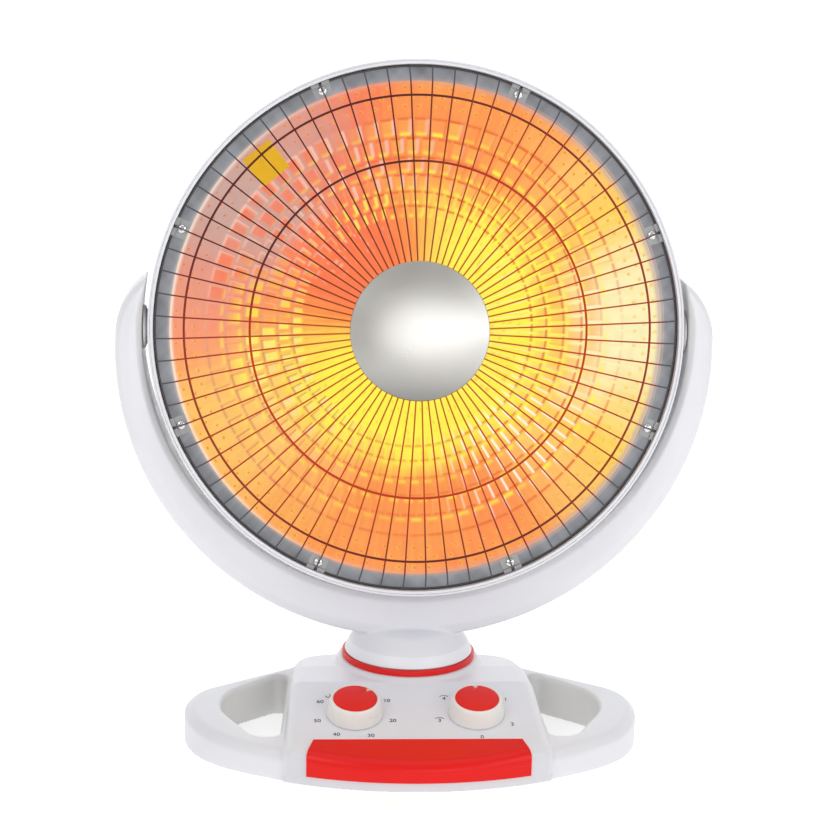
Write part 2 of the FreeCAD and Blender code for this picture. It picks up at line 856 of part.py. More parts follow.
def pivot_bushes():
    """Flanged bushes in the horns: the domed flange fills the gap to the dish."""
    bore = pivot_bolt_radius + running_fit
    sleeve = bore + bush_sleeve_wall
    flange_face = head_radius + face_gap + bush_clearance
    # the horn's inner wall is round, so the flange's back stops where its rim would meet it
    wall_at_rim = math.sqrt(yoke_inner**2 - bush_flange_radius**2)
    flange_back_face = wall_at_rim - 2 * seat_gap
    section = outline(lambda radius, x: Vec(x, radius, 0), (bore, flange_face),
                      (bush_flange_radius - bush_dome_width, flange_face),
                      (bush_flange_radius, flange_face + bush_dome_height),
                      (bush_flange_radius, flange_back_face), (sleeve, flange_back_face),
                      (sleeve, yoke_inner + yoke_wall), (bore, yoke_inner + yoke_wall))
    bush = section.revolve(Vec(0, 0, 0), RIGHT, 360)
    bush.translate(UP * pivot_height)
    return Part.makeCompound(both_sides(bush))


# ---- neck
def swivel_neck():
    """The bell under the yoke: a skirt outside, a thrust hub and a tube that drops through the collar."""
    tube_outer = neck_tube_radius - running_fit
    tube_inner = neck_tube_radius - neck_tube_wall
    shoulder = collar_top + neck_shoulder
    top = yoke_underside + neck_into_yoke
    outside = [(neck_foot_radius, neck_foot), neck_bend, (neck_waist_radius, yoke_underside + neck_lip)]
    skirt = drawn_in(outside[:2] + [(neck_hub_radius, yoke_underside + neck_lip)], neck_skirt)[:2]
    skirt[0] = (neck_foot_radius - neck_skirt, neck_foot)
    bell = neck_turned((tube_inner, retainer_top), (tube_outer, retainer_top), (tube_outer, shoulder),
                       (neck_hub_radius, shoulder), (neck_hub_radius, skirt[1][1]), *reversed(skirt),
                       *outside, (neck_top_radius, top), (tube_inner, top))
    holes = [neck_screw_hole(point) for point in neck_screw_points()]
    holes += retainer_holes()
    return whole(bell.cut(yoke_form(-seat_gap)).cut(Part.makeCompound(holes)))


def retainer_screw_circle():
    return neck_tube_radius - running_fit - neck_tube_wall / 2


def retainer_holes():
    hole = flat_rod(retainer_screw_radius + screw_fit, Vec(retainer_screw_circle(), 0, 0),
                    Vec(retainer_screw_circle(), 0, retainer_top + retainer_screw_bite + 2.0))
    return round_the_neck(hole)


def round_the_neck(shape):
    step = 360.0 / retainer_screw_count
    return [around(shape, UP, step * (turn + 0.5)) for turn in range(retainer_screw_count)]


def neck_screws():
    return Part.makeCompound([screw(point, -UP, neck_screw_radius, neck_screw_head,
                                    neck_screw_head_height, neck_screw_length)
                              for point in neck_screw_points()])


def swing_lever():
    """Retaining disc on the end of the neck tube. Its pin reaches down to the drive link."""
    disc = tube(neck_tube_radius + retainer_lap, cable_bore, Vec(0, 0, retainer_top - retainer_sheet),
                Vec(0, 0, retainer_top - seat_gap))
    pin = rod(drive_pin_radius, Vec(lever_radius, 0, link_top + face_gap),
              Vec(lever_radius, 0, retainer_top - retainer_sheet / 2))
    body = disc.fuse(pin)
    return whole(body.cut(Part.makeCompound(retainer_holes())))


def lever_screws():
    seat = Vec(retainer_screw_circle(), 0, retainer_top - retainer_sheet - seat_gap)
    one = screw(seat, UP, retainer_screw_radius, retainer_screw_head, retainer_screw_head_height,
                retainer_sheet + retainer_screw_bite)
    return Part.makeCompound(round_the_neck(one))


# ---- base
def oval(half_width, half_depth, end_radius, middle, inset=0.0):
    """A four-arc oval about (0, middle), drawn in by the inset."""
    across = half_width - end_radius
    flank = (across**2 + half_depth**2 - end_radius**2) / (2 * (half_depth - end_radius))
    span = math.hypot(across, flank - half_depth)
    joint_x = (flank - inset) * across / span
    joint_y = (flank - inset) * (flank - half_depth) / span - (flank - half_depth)
    joints = [Vec(x, middle + y, 0) for x, y in ((joint_x, joint_y), (-joint_x, joint_y),
                                                 (-joint_x, -joint_y), (joint_x, -joint_y))]
    tips = [Vec(0, middle + half_depth - inset, 0), Vec(inset - half_width, middle, 0),
            Vec(0, middle - half_depth + inset, 0), Vec(half_width - inset, middle, 0)]
    arcs = [Part.Arc(joints[turn], tips[turn], joints[(turn + 1) % 4]).toShape() for turn in range(4)]
    return Part.Face(Part.Wire(arcs))


def base_oval(inset):
    """The oval that gives the base its front, and the body its front and back."""
    return oval(base_half_width, base_half_depth, base_end_radius, base_middle, inset)


def loop_back(inset):
    """The plan behind the middle of the oval, out to where the handle loops run in to the body."""
    lean = math.radians(base_back_lean)
    radius = base_back_radius - inset
    centre = Vec(base_half_width - base_back_radius, base_middle, 0)

    def on_end(angle):
        return centre + Vec(radius * math.cos(angle), radius * math.sin(angle), 0)

    tangent = on_end(math.pi / 2 - lean)
    meet_y = base_back_meet - inset
    meet_x = tangent.x - (meet_y - tangent.y) / math.tan(lean)
    front = base_front - base_end_radius
    left = [Vec(-meet_x, meet_y, 0), Vec(-tangent.x, tangent.y, 0)]
    end = on_end(0)
    edges = [Part.makeLine(Vec(end.x, front, 0), end),
             Part.Arc(end, on_end((math.pi / 2 - lean) / 2), tangent).toShape(),
             Part.makeLine(tangent, Vec(meet_x, meet_y, 0)),
             Part.makeLine(Vec(meet_x, meet_y, 0), left[0]),
             Part.makeLine(left[0], left[1])]
    middle = on_end((math.pi / 2 - lean) / 2)
    edges += [Part.Arc(left[1], Vec(-middle.x, middle.y, 0), Vec(-end.x, end.y, 0)).toShape(),
              Part.makeLine(Vec(-end.x, end.y, 0), Vec(-end.x, front, 0)),
              Part.makeLine(Vec(-end.x, front, 0), Vec(end.x, front, 0))]
    return Part.Face(Part.Wire(edges))


def loop_plan(inset, low, high):
    """The two handle loops and what joins them, with a rounded front and a back that runs in to the body."""
    return whole(lifted(base_oval(inset), low, high).common(lifted(loop_back(inset), low, high)))


def lifted(face, low, high):
    solid = face.extrude(UP * (high - low))
    solid.translate(UP * low)
    return solid


def block_side(y, inset):
    """Half the width of the control block at a distance along Y."""
    share = (y - base_front) / (base_half_depth + block_back_reach)
    return block_front_half + (block_back_half - block_front_half) * share - inset


def side_face(inset, beyond=60.0):
    """The plan between the two slanting sides of the block, open at the front and back."""
    front = base_front - beyond
    back = base_back + beyond
    corners = [Vec(-block_side(front, inset), front, 0), Vec(block_side(front, inset), front, 0),
               Vec(block_side(back, inset), back, 0), Vec(-block_side(back, inset), back, 0)]
    return Part.Face(Part.makePolygon(corners + corners[:1]))


def is_upright(edge):
    return abs(edge.tangentAt(edge.FirstParameter).z) > 0.99


def block_plan(inset, low, high):
    """The body between the loops, up to any height, with its rounded back corners."""
    plan = lifted(side_face(inset), low, high).common(lifted(base_oval(inset - block_proud), low, high))
    plan = whole(plan)
    corners = [edge for edge in plan.Edges if is_upright(edge) and edge.CenterOfMass.y > panel_back]
    return plan.makeFillet(block_back_corner - inset, corners)


def panel_height(y, inset=0.0):
    lean = math.radians(panel_slope)
    return block_height - (panel_back - y) * math.tan(lean) - inset / math.cos(lean)


def block_form(inset, low):
    """The raised middle of the base: sloping panel in front, level round the neck, falling to the back."""
    plan = block_plan(inset, low, block_height + 10)
    front = base_front - base_end_radius
    back = base_back + base_end_radius
    fall = math.radians(block_back_fall)
    fold = panel_back + inset * math.tan(math.radians(panel_slope / 2))
    crease = block_crease - inset * math.tan(fall / 2)
    back_height = block_height - inset - (back - crease) * math.tan(fall)
    side = [Vec(-REACH, front, low), Vec(-REACH, front, panel_height(front, inset)),
            Vec(-REACH, fold, block_height - inset), Vec(-REACH, crease, block_height - inset),
            Vec(-REACH, back, back_height), Vec(-REACH, back, low)]
    wedge = Part.Face(Part.makePolygon(side + side[:1])).extrude(RIGHT * (2 * REACH))
    block = whole(plan.common(wedge))
    radius = block_round - inset
    corners = [edge for edge in block.Edges if is_upright(edge) and edge.CenterOfMass.y < block_crease
               and is_sharp(edge, block)]
    block = eased(block, corners, radius, inset)
    rims = []
    for edge in block.Edges:
        level = edge.CenterOfMass
        on_fold = abs(level.x) < 1 and min(abs(level.y - fold), abs(level.y - crease)) < 1
        if level.z > low + radius and not on_fold:
            if min(vertex.Z for vertex in edge.Vertexes) > low + 1:
                rims.append(edge)
    return eased(block, rims, radius, inset)


def eased(solid, edges, radius, inset):
    """Rounds the edges of an outer form. An inner form gets the bevel that lies along the same round."""
    if inset > seat_gap:
        return solid.makeChamfer(radius * (2 - math.sqrt(2)), edges)
    return solid.makeFillet(radius, edges)


def ring_top(inset):
    """The height of the loops' sloping top at the middle of the oval, drawn in by the inset."""
    return ring_height - inset / math.cos(math.radians(ring_slope))


def under_ring_top(inset, low):
    """All below the loops' sloping top."""
    front = base_front - base_end_radius
    back = base_back + base_end_radius
    rise = math.tan(math.radians(ring_slope))
    side = [Vec(-REACH, front, low), Vec(-REACH, front, ring_top(inset) + (front - base_middle) * rise),
            Vec(-REACH, back, ring_top(inset) + (back - base_middle) * rise), Vec(-REACH, back, low)]
    return Part.Face(Part.makePolygon(side + side[:1])).extrude(RIGHT * (2 * REACH))


def on_ring_top(edge, inset=0.0):
    level = edge.CenterOfMass
    top = ring_top(inset) + (level.y - base_middle) * math.tan(math.radians(ring_slope))
    return abs(level.z - top) < 1e-6


def ring_form(inset, low):
    """The loops' skirt with its eased shoulder, left out where the block takes its place."""
    high = block_height + 10
    solid = whole(loop_plan(inset, low, high).common(under_ring_top(inset, low - 1)))
    bevel = (ring_round - inset) * (2 - math.sqrt(2))
    for cut in (bevel, bevel * ring_second_bevel):
        rim = [edge for edge in solid.Edges if on_ring_top(edge, inset)]
        solid = solid.makeChamfer(cut, rim)
    return solid.cut(lifted(side_face(inset + block_round + 1.0), low - 1, high))


def grip_hole(inset, low, high):
    """The opening inside the right end of the base, grown by a negative inset."""
    tip = (base_half_width - grip_tip[0], base_middle + grip_tip[1])
    front = base_front + grip_front
    front_bend = (tip[0] - (tip[1] - front) / math.tan(math.radians(grip_front_lean)), front)
    back = tip[1] + tip[0] * math.tan(math.radians(grip_back_lean))
    sides = drawn_in([(0, front), front_bend, tip, (0, back)], inset)
    plan = Part.Face(Part.makePolygon([Vec(x, y, 0) for x, y in sides + sides[:1]]))
    plan = lifted(plan, low, high).cut(lifted(side_face(-grip_ledge - inset), low - 1, high + 1))
    hole = [solid for solid in plan.Solids if solid.CenterOfMass.x > 0][0]
    rounds = {grip_corner: [], grip_front_round: [], grip_tip_round: []}
    for edge in [edge for edge in hole.Edges if is_upright(edge)]:
        place = edge.CenterOfMass
        near = [abs(place.x - x) + abs(place.y - y) < 0.01 for x, y in sides]
        rounds[grip_front_round if near[1] else grip_tip_round if near[2] else grip_corner].append(edge)
    for radius, edges in rounds.items():
        places = [edge.CenterOfMass for edge in edges]
        here = [edge for edge in hole.Edges if is_upright(edge)
                and any(edge.CenterOfMass.distanceToPoint(place) < 0.01 for place in places)]
        if here:
            hole = hole.makeFillet(radius - inset, here)
    return hole


def is_sharp(edge, solid):
    """Whether the two faces on an upright edge meet at a corner and not in a smooth joint."""
    sides = [face for face in solid.Faces if any(edge.isSame(other) for other in face.Edges)]
    normals = []
    for face in sides:
        u, v = face.Surface.parameter(edge.CenterOfMass)
        normals.append(face.normalAt(u, v))
    return abs(normals[0].dot(normals[1])) < 0.98


def grip_holes(inset, low, high):
    return Part.makeCompound(both_sides(grip_hole(inset, low, high)))


def boss_places():
    return [Vec(side * x, y, 0) for x, y in base_screw_places for side in (-1, 1)]


def base_screw_hole(place):
    top = place + UP * (plate_floor + base_screw_length + 2.0)
    return flat_rod(base_screw_radius + screw_fit, place - UP, top)


def base_top_shell():
    low = plate_sheet
    high = block_height + 10
    ring = ring_form(0, low).cut(grip_holes(0, low - 1, high))
    rims = [edge for edge in ring.Edges if on_ring_top(edge) and on_grip(edge)]
    ring = ring.makeChamfer(grip_chamfer, rims)
    block = block_form(0, low)
    collar = neck_turned((0, ring_height), (collar_radius + collar_step, ring_height),
                         (collar_radius + collar_step, block_top - 1),
                         (collar_radius, block_top + collar_step),
                         (red_ring_radius - red_ring_wall, block_top + collar_step),
                         (red_ring_radius - red_ring_wall, collar_top), (0, collar_top))
    outside = ring.fuse([block, collar])
    ring_cavity = ring_form(shell_wall, low - 1).cut(grip_holes(-shell_wall, low - 2, high))
    block_cavity = block_form(shell_wall, low - 1)
    cavity_radius = red_ring_radius - red_ring_wall - shell_wall
    collar_cavity = rod(cavity_radius, Vec(0, 0, low), Vec(0, 0, collar_ceiling))
    foot_radius = collar_radius + collar_step - shell_wall
    collar_foot = rod(foot_radius, Vec(0, 0, low), Vec(0, 0, block_top - shell_wall))
    cavity = ring_cavity.fuse([block_cavity, collar_cavity, collar_foot])
    shell = outside.cut(cavity)
    bosses = [rod(boss_radius, place + UP * low, place + UP * block_height).common(outside)
              for place in boss_places()]
    shell = shell.fuse(bosses)
    holes = [base_screw_hole(place) for place in boss_places()]
    holes.append(rod(neck_tube_radius, Vec(0, 0, low), Vec(0, 0, REACH)))
    holes += [on_panel(rod(control_bush_radius() + screw_fit, UP * -10, UP * 10), side * knob_place)
              for side in (-1, 1)]
    holes.append(rod(grommet_radius, Vec(0, base_back - grommet_length, grommet_height),
                     Vec(0, base_back + grommet_length, grommet_height)))
    return whole(shell.cut(Part.makeCompound(holes)))


def on_grip(edge):
    """Whether an edge of the loops' top lies on the rim of a grip opening."""
    middle = edge.valueAt((edge.FirstParameter + edge.LastParameter) / 2)
    flat = Vec(abs(middle.x), middle.y, 0)
    return grip_hole(-seat_gap, -1, 1).isInside(flat, 0.01, True)


def base_bottom_plate():
    """Floor of the base. A raised rim round its edge and round the grips stands on the table."""
    plan = loop_plan(0, 0, plate_sheet).fuse(block_plan(0, 0, plate_sheet))
    plate = plan.cut(grip_holes(0, -1, plate_sheet + 1))
    hollow = loop_plan(plate_rim, -1, plate_floor).fuse(block_plan(plate_rim, -1, plate_floor))
    hollow = hollow.cut(grip_holes(-plate_rim, -2, plate_sheet))
    plate = plate.cut(hollow)
    holes = [base_screw_hole(place) for place in boss_places()]
    x, y = tip_place
    holes.append(rod(plunger_radius + plunger_clearance, Vec(x, y, -REACH), Vec(x, y, REACH)))
    return whole(plate.cut(Part.makeCompound(holes)))


def rubber_feet():
    """Pads glued under the floor, level with the rim."""
    pads = [rod(foot_radius, Vec(side * x, y, 0), Vec(side * x, y, plate_floor - seat_gap))
            for x, y in foot_places for side in (-1, 1)]
    return Part.makeCompound(pads)


def base_screws():
    seat = plate_floor - seat_gap
    one = screw(UP * seat, UP, base_screw_radius, base_screw_head, seat - base_screw_recess,
                base_screw_length)
    screws = []
    for place in boss_places():
        copy = one.copy()
        copy.translate(place)
        screws.append(copy)
    return Part.makeCompound(screws)


def red_ring():
    low = block_top + collar_step + seat_gap
    inner = red_ring_radius - red_ring_wall + seat_gap
    return neck_turned((inner, low), (red_ring_radius, low), (red_ring_radius, collar_top - rim_ease),
                       (red_ring_radius - rim_ease, collar_top), (inner, collar_top))


def front_trim():
    """Red plate that wraps from the panel over the fold to the front wall."""
    low = trim_foot
    skin = block_form(-trim_proud, plate_sheet).cut(block_form(-seat_gap, plate_sheet))
    front = base_front - base_end_radius
    fold = base_front + trim_fold_reach
    back = base_front + trim_back_reach
    corners = [Vec(-trim_top_half, back, 0), Vec(-trim_foot_half, fold, 0), Vec(-trim_foot_half, front, 0),
               Vec(trim_foot_half, front, 0), Vec(trim_foot_half, fold, 0), Vec(trim_top_half, back, 0)]
    window = lifted(Part.Face(Part.makePolygon(corners + corners[:1])), low, block_height)
    return whole(skin.common(window))


def cord_grommet():
    """Rubber bush in the back wall, where a mains lead would enter."""
    out = base_back + block_proud + grommet_lip
    inner = out - grommet_length
    groove = grommet_radius - seat_gap
    section = outline(lambda radius, y: Vec(radius, y, 0), (grommet_bore, inner), (groove, inner),
                      (groove, out - grommet_lip), (groove + grommet_lip, out - grommet_lip),
                      (groove + grommet_lip / 2, out), (grommet_bore, out))
    bush = section.revolve(Vec(0, 0, 0), Vec(0, 1, 0), 360)
    bush.translate(UP * grommet_height)
    return bush


def swivel_washer():
    return tube(neck_hub_radius - face_gap, neck_tube_radius + face_gap, Vec(0, 0, collar_top + seat_gap),
                Vec(0, 0, collar_top + neck_shoulder - face_gap))


# ---- controls
def on_panel(shape, x):
    """Carries a shape drawn about +Z onto the sloping panel at a knob's place."""
    placed = shape.copy()
    placed.rotate(Vec(0, 0, 0), RIGHT, panel_slope)
    placed.translate(Vec(x, knob_line, panel_height(knob_line)))
    return placed


def control_bush_radius():
    return shaft_radius + running_fit + control_bush_wall


def control_body(x, lobes):
    """Timer or switch under the panel: a case, its bush through the panel, and solder tags."""
    top = -shell_wall - seat_gap
    half = control_side / 2
    case = box(Vec(-half, -half, top - control_depth), Vec(half, half, top))
    bush = rod(control_bush_radius(), UP * (top - 1), UP * control_bush_height)
    body = case.fuse(bush)
    for lobe in range(lobes):
        tag_x = (lobe - (lobes - 1) / 2) * tag_pitch
        body = body.fuse(box(Vec(tag_x - tag_width / 2, half - 0.5, top - tag_drop - tag_sheet),
                             Vec(tag_x + tag_width / 2, half + tag_length, top - tag_drop)))
    bore = rod(shaft_radius + running_fit, UP * -(shaft_depth + face_gap), UP * REACH)
    return whole(on_panel(body.cut(bore), x))


def control_nuts():
    corners = [Vec(control_nut_radius * math.cos(math.radians(60 * turn)),
                   control_nut_radius * math.sin(math.radians(60 * turn)), seat_gap) for turn in range(6)]
    body = Part.Face(Part.makePolygon(corners + corners[:1])).extrude(UP * control_nut_height)
    body = body.cut(rod(control_bush_radius() + seat_gap, UP * -1, UP * 10))
    return Part.makeCompound([on_panel(body, side * knob_place) for side in (-1, 1)])


def knob_floor():
    """Where the cap lies in the knob."""
    return knob_gap + knob_height - cap_sheet + cap_recess


def knob(x):
    top = knob_gap + knob_height
    under = knob_floor() - knob_web
    hub_low = control_bush_height + knob_hub_clearance
    bore = shaft_radius + seat_gap
    body = neck_turned((0, knob_floor()), (cap_radius + seat_gap, knob_floor()), (cap_radius + seat_gap, top),
                       (knob_top_radius - knob_rim_width, top), (knob_top_radius, top - knob_rim_drop),
                       (knob_foot_radius, knob_gap), (knob_foot_radius - knob_wall, knob_gap),
                       (knob_top_radius - knob_wall, under), (knob_hub_radius, under),
                       (knob_hub_radius, hub_low), (bore, hub_low), (bore, under), (0, under))
    return on_panel(body, x)


def knob_cap(x, pointer):
    low = knob_floor() + seat_gap
    high = low + cap_sheet
    cap = neck_turned((0, low), (cap_radius, low), (cap_radius, high - cap_ease / 2),
                      (cap_radius - cap_ease, high), (0, high))
    tip = [Vec(0, cap_radius - notch_length, low), Vec(-notch_width / 2, cap_radius + 1, low),
           Vec(notch_width / 2, cap_radius + 1, low)]
    notch = Part.Face(Part.makePolygon(tip + tip[:1])).extrude(UP * (2 * cap_sheet))
    cap = whole(cap.cut(notch))
    cap.rotate(Vec(0, 0, 0), UP, -pointer)
    return on_panel(cap, x)


def control_shaft(x):
    top = knob_floor() - knob_web - face_gap
    return on_panel(rod(shaft_radius, UP * -shaft_depth, UP * top), x)


# ---- swing drive
def motor_ears():
    x, y = motor_place
    reach = motor_radius + motor_post_radius - 1.0
    return [Vec(x, y + side * reach, 0) for side in (-1, 1)]


def swing_motor():
    """Flat synchronous motor on two posts, with ears and a bush for the crank's shaft."""
    x, y = motor_place
    low = plate_sheet + motor_foot
    body = rod(motor_radius, Vec(x, y, low), Vec(x, y, motor_top))
    ears = [rod(motor_ear, ear + UP * low, ear + UP * (low + motor_ear_sheet)) for ear in motor_ears()]
    body = body.fuse(ears)
    bore = rod(motor_shaft_radius + running_fit, Vec(x, y, motor_top - motor_shaft_depth - 1),
               Vec(x, y, REACH))
    holes = [rod(motor_stud_radius + screw_fit, ear, ear + UP * (low + motor_stud_length + 1))
             for ear in motor_ears()]
    return whole(body.cut(bore).cut(Part.makeCompound(holes)))


def motor_posts():
    top = plate_sheet + motor_foot - seat_gap
    posts = []
    for place in motor_ears():
        post = rod(motor_post_radius, place + UP * (plate_sheet + seat_gap), place + UP * top)
        stud = rod(motor_stud_radius, place + UP * (top - 1), place + UP * (top + motor_stud_length))
        posts.append(whole(post.fuse(stud)))
    return Part.makeCompound(posts)


def crank_pin():
    return Vec(motor_place[0] + lever_offset, motor_place[1], 0)


def crank_disc():
    x, y = motor_place
    high = crank_bottom + crank_sheet
    disc = rod(lever_offset + crank_rim, Vec(x, y, crank_bottom), Vec(x, y, high))
    shaft = rod(motor_shaft_radius, Vec(x, y, motor_top - motor_shaft_depth), Vec(x, y, crank_bottom + 1))
    pin = rod(drive_pin_radius, crank_pin() + UP * (high - 1), crank_pin() + UP * (link_top + pin_spare))
    return whole(disc.fuse([shaft, pin]))


def link_rod():
    """Drive link from the crank pin to under the lever's pin."""
    start = crank_pin()
    end = Vec(lever_radius, 0, 0)
    along = end - start
    across = Vec(-along.y, along.x, 0).normalize() * (link_width / 2)
    corners = [start + across, end + across, end - across, start - across]
    corners = [corner + UP * link_bottom for corner in corners]
    bar = Part.Face(Part.makePolygon(corners + corners[:1])).extrude(UP * link_sheet)
    eyes = [rod(link_eye_radius, place + UP * link_bottom, place + UP * link_top) for place in (start, end)]
    bores = [rod(drive_pin_radius + running_fit, place, place + UP * REACH) for place in (start, end)]
    return whole(bar.fuse(eyes).cut(Part.makeCompound(bores)))


# ---- tip-over switch
def tip_switch():
    x, y = tip_place
    wide, deep, tall = tip_size
    low = plate_sheet + seat_gap
    body = box(Vec(x - wide / 2, y - deep / 2, low), Vec(x + wide / 2, y + deep / 2, low + tall))
    bore = rod(plunger_radius + running_fit, Vec(x, y, 0), Vec(x, y, plunger_length + face_gap))
    return whole(body.cut(bore))


def tip_plunger():
    x, y = tip_place
    foot = rod(plunger_foot_radius, Vec(x, y, 0), Vec(x, y, plate_floor - face_gap))
    return whole(foot.fuse(rod(plunger_radius, Vec(x, y, 0), Vec(x, y, plunger_length))))


# ---- assembly
def leaned(shape):
    """Puts a piece of the head on the tilt axis, leaning back as it stands."""
    placed = around(shape, RIGHT, -rest_tilt)
    placed.translate(UP * pivot_height)
    return placed


HEAD = {
    "reflector": reflector,
    "front_bezel": front_bezel,
    "rear_housing": rear_housing,
    "guard_radial_wires": guard_radial_wires,
    "guard_rings": guard_rings,
    "guard_hoop": guard_hoop,
    "guard_disc": guard_disc,
    "guard_clips": guard_clips,
    "clip_screws": clip_screws,
    "heater_socket": heater_socket,
    "heater_core": heater_core,
    "heating_coil": heating_coil,
    "socket_bracket": socket_bracket,
    "bracket_posts": bracket_posts,
    "thermal_cutout": thermal_cutout,
    "terminal_block": terminal_block,
    "pivot_brackets": pivot_brackets,
    "pivot_nuts": pivot_nuts,
    "friction_washers": friction_washers,
    "pivot_bolts": pivot_bolts,
}

REST = {
    "yoke_front": yoke_front,
    "yoke_rear_cover": yoke_rear_cover,
    "yoke_screws": yoke_screws,
    "pivot_bushes": pivot_bushes,
    "swivel_neck": swivel_neck,
    "neck_screws": neck_screws,
    "swing_lever": swing_lever,
    "lever_screws": lever_screws,
    "base_top_shell": base_top_shell,
    "base_bottom_plate": base_bottom_plate,
    "rubber_feet": rubber_feet,
    "base_screws": base_screws,
    "red_ring": red_ring,
    "front_trim": front_trim,
    "cord_grommet": cord_grommet,
    "swivel_washer": swivel_washer,
    "timer_body": lambda: control_body(-knob_place, 3),
    "mode_switch": lambda: control_body(knob_place, 4),
    "control_nuts": control_nuts,
    "timer_knob": lambda: knob(-knob_place),
    "timer_cap": lambda: knob_cap(-knob_place, timer_pointer),
    "timer_shaft": lambda: control_shaft(-knob_place),
    "mode_knob": lambda: knob(knob_place),
    "mode_cap": lambda: knob_cap(knob_place, mode_pointer),
    "mode_shaft": lambda: control_shaft(knob_place),
    "swing_motor": swing_motor,
    "motor_posts": motor_posts,
    "crank_disc": crank_disc,
    "link_rod": link_rod,
    "tip_switch": tip_switch,
    "tip_plunger": tip_plunger,
}


def main():
    os.makedirs("parts", exist_ok=True)
    for name, make in HEAD.items():
        leaned(make()).exportStep("parts/" + name + ".step")
    for name, make in REST.items():
        make().exportStep("parts/" + name + ".step")


main()
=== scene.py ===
import json
import math
import random

import bmesh
import bpy
from mathutils import Matrix, Vector


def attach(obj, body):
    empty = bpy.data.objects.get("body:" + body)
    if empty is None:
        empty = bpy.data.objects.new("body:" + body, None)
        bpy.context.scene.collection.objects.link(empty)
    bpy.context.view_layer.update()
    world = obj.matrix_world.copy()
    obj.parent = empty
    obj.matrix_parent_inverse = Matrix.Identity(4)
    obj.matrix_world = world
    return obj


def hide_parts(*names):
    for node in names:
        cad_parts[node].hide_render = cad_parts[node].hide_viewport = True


# Dresses the parabolic dish heater. Sizes are millimetres until MM turns them into the metres of the meshes.
# Places on the head are (right, up, forward) from the tilt axis, those on the panel (right, up the slope, out).
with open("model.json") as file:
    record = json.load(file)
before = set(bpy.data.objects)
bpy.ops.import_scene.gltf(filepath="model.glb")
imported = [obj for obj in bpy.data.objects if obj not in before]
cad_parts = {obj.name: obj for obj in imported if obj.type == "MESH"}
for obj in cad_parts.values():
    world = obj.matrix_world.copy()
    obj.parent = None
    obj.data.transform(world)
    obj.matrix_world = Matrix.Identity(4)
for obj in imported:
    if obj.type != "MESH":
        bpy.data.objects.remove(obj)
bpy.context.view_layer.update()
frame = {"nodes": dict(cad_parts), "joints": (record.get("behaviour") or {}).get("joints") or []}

MM = 0.001
JOINTS = {joint["name"]: joint for joint in frame["joints"]}
TILT_AXIS_Z = JOINTS["tilt"]["pos_m"][2]
LEAN = math.radians(9.0)  # the dish leans back
PANEL_SLOPE = math.radians(15.0)
DIAL_X = 42.0
DIAL_Y = -86.0
DIAL_Z = 34.354
random.seed(7)

# ---- camera
CAMERA_PLACE = (-0.110, -1.512, 0.590)
CAMERA_PITCH = math.radians(13.65)
CAMERA_YAW = math.radians(4.33)
CAMERA_ROLL = math.radians(1.44)
FOCAL_PIXELS = 2204.4
IMAGE_SIDE = 840
SENSOR = 36.0


def make_camera():
    """The photograph's camera, worked out from the rim, the dials and the base."""
    right = Vector((math.cos(CAMERA_YAW), -math.sin(CAMERA_YAW), 0))
    ahead = Vector((math.sin(CAMERA_YAW) * math.cos(CAMERA_PITCH),
                    math.cos(CAMERA_YAW) * math.cos(CAMERA_PITCH), -math.sin(CAMERA_PITCH)))
    up = right.cross(ahead)
    turned_right = math.cos(CAMERA_ROLL) * right + math.sin(CAMERA_ROLL) * up
    turned_up = math.cos(CAMERA_ROLL) * up - math.sin(CAMERA_ROLL) * right
    data = bpy.data.cameras.new("camera")
    data.sensor_width = SENSOR
    data.sensor_fit = "HORIZONTAL"
    data.lens = FOCAL_PIXELS / IMAGE_SIDE * SENSOR
    data.clip_end = 20
    camera = bpy.data.objects.new("camera", data)
    bpy.context.scene.collection.objects.link(camera)
    basis = Matrix((turned_right, turned_up, -ahead)).transposed().to_4x4()
    camera.matrix_world = Matrix.Translation(CAMERA_PLACE) @ basis
    bpy.context.scene.camera = camera


# ---- places
HEAD = Matrix(((1, 0, 0, 0),
               (0, math.sin(LEAN), -math.cos(LEAN), 0),
               (0, math.cos(LEAN), math.sin(LEAN), TILT_AXIS_Z),
               (0, 0, 0, 1)))  # right, up and forward of the dish
UPRIGHT = Matrix.Identity(4)


def panel_place(x):
    """The sloping panel at the foot of a knob: right, back up the slope, and out."""
    slope = Matrix.Rotation(PANEL_SLOPE, 4, "X")
    return Matrix.Translation((x * MM, DIAL_Y * MM, DIAL_Z * MM)) @ slope


# ---- mesh helpers
def srgb(red, green, blue):
    def linear(value):
        value /= 255
        return value / 12.92 if value <= 0.04045 else ((value + 0.055) / 1.055) ** 2.4

    return (linear(red), linear(green), linear(blue), 1.0)


def step(low, high, value):
    """0 under low, 1 over high, and smooth between."""
    share = min(1.0, max(0.0, (value - low) / (high - low)))
    return share * share * (3 - 2 * share)


def add_piece(name, vertices, faces, place=UPRIGHT, sharp=35.0):
    mesh = bpy.data.meshes.new(name)
    mesh.from_pydata([place @ (Vector(v) * MM) for v in vertices], [], faces)
    mesh.validate()
    bm = bmesh.new()
    bm.from_mesh(mesh)
    bmesh.ops.recalc_face_normals(bm, faces=bm.faces)
    bm.to_mesh(mesh)
    bm.free()
    mesh.shade_smooth()
    mesh.set_sharp_from_angle(angle=math.radians(sharp))
    piece = bpy.data.objects.new(name, mesh)
    bpy.context.scene.collection.objects.link(piece)
    return piece


def bands(rows, columns, closed=False):
    """Faces between the rows of a grid whose columns go all the way round."""
    faces = []
    for row in range(rows if closed else rows - 1):
        first, second = row * columns, (row + 1) % rows * columns
        for column in range(columns):
            after = (column + 1) % columns
            faces.append((first + column, first + after, second + after, second + column))
    return faces


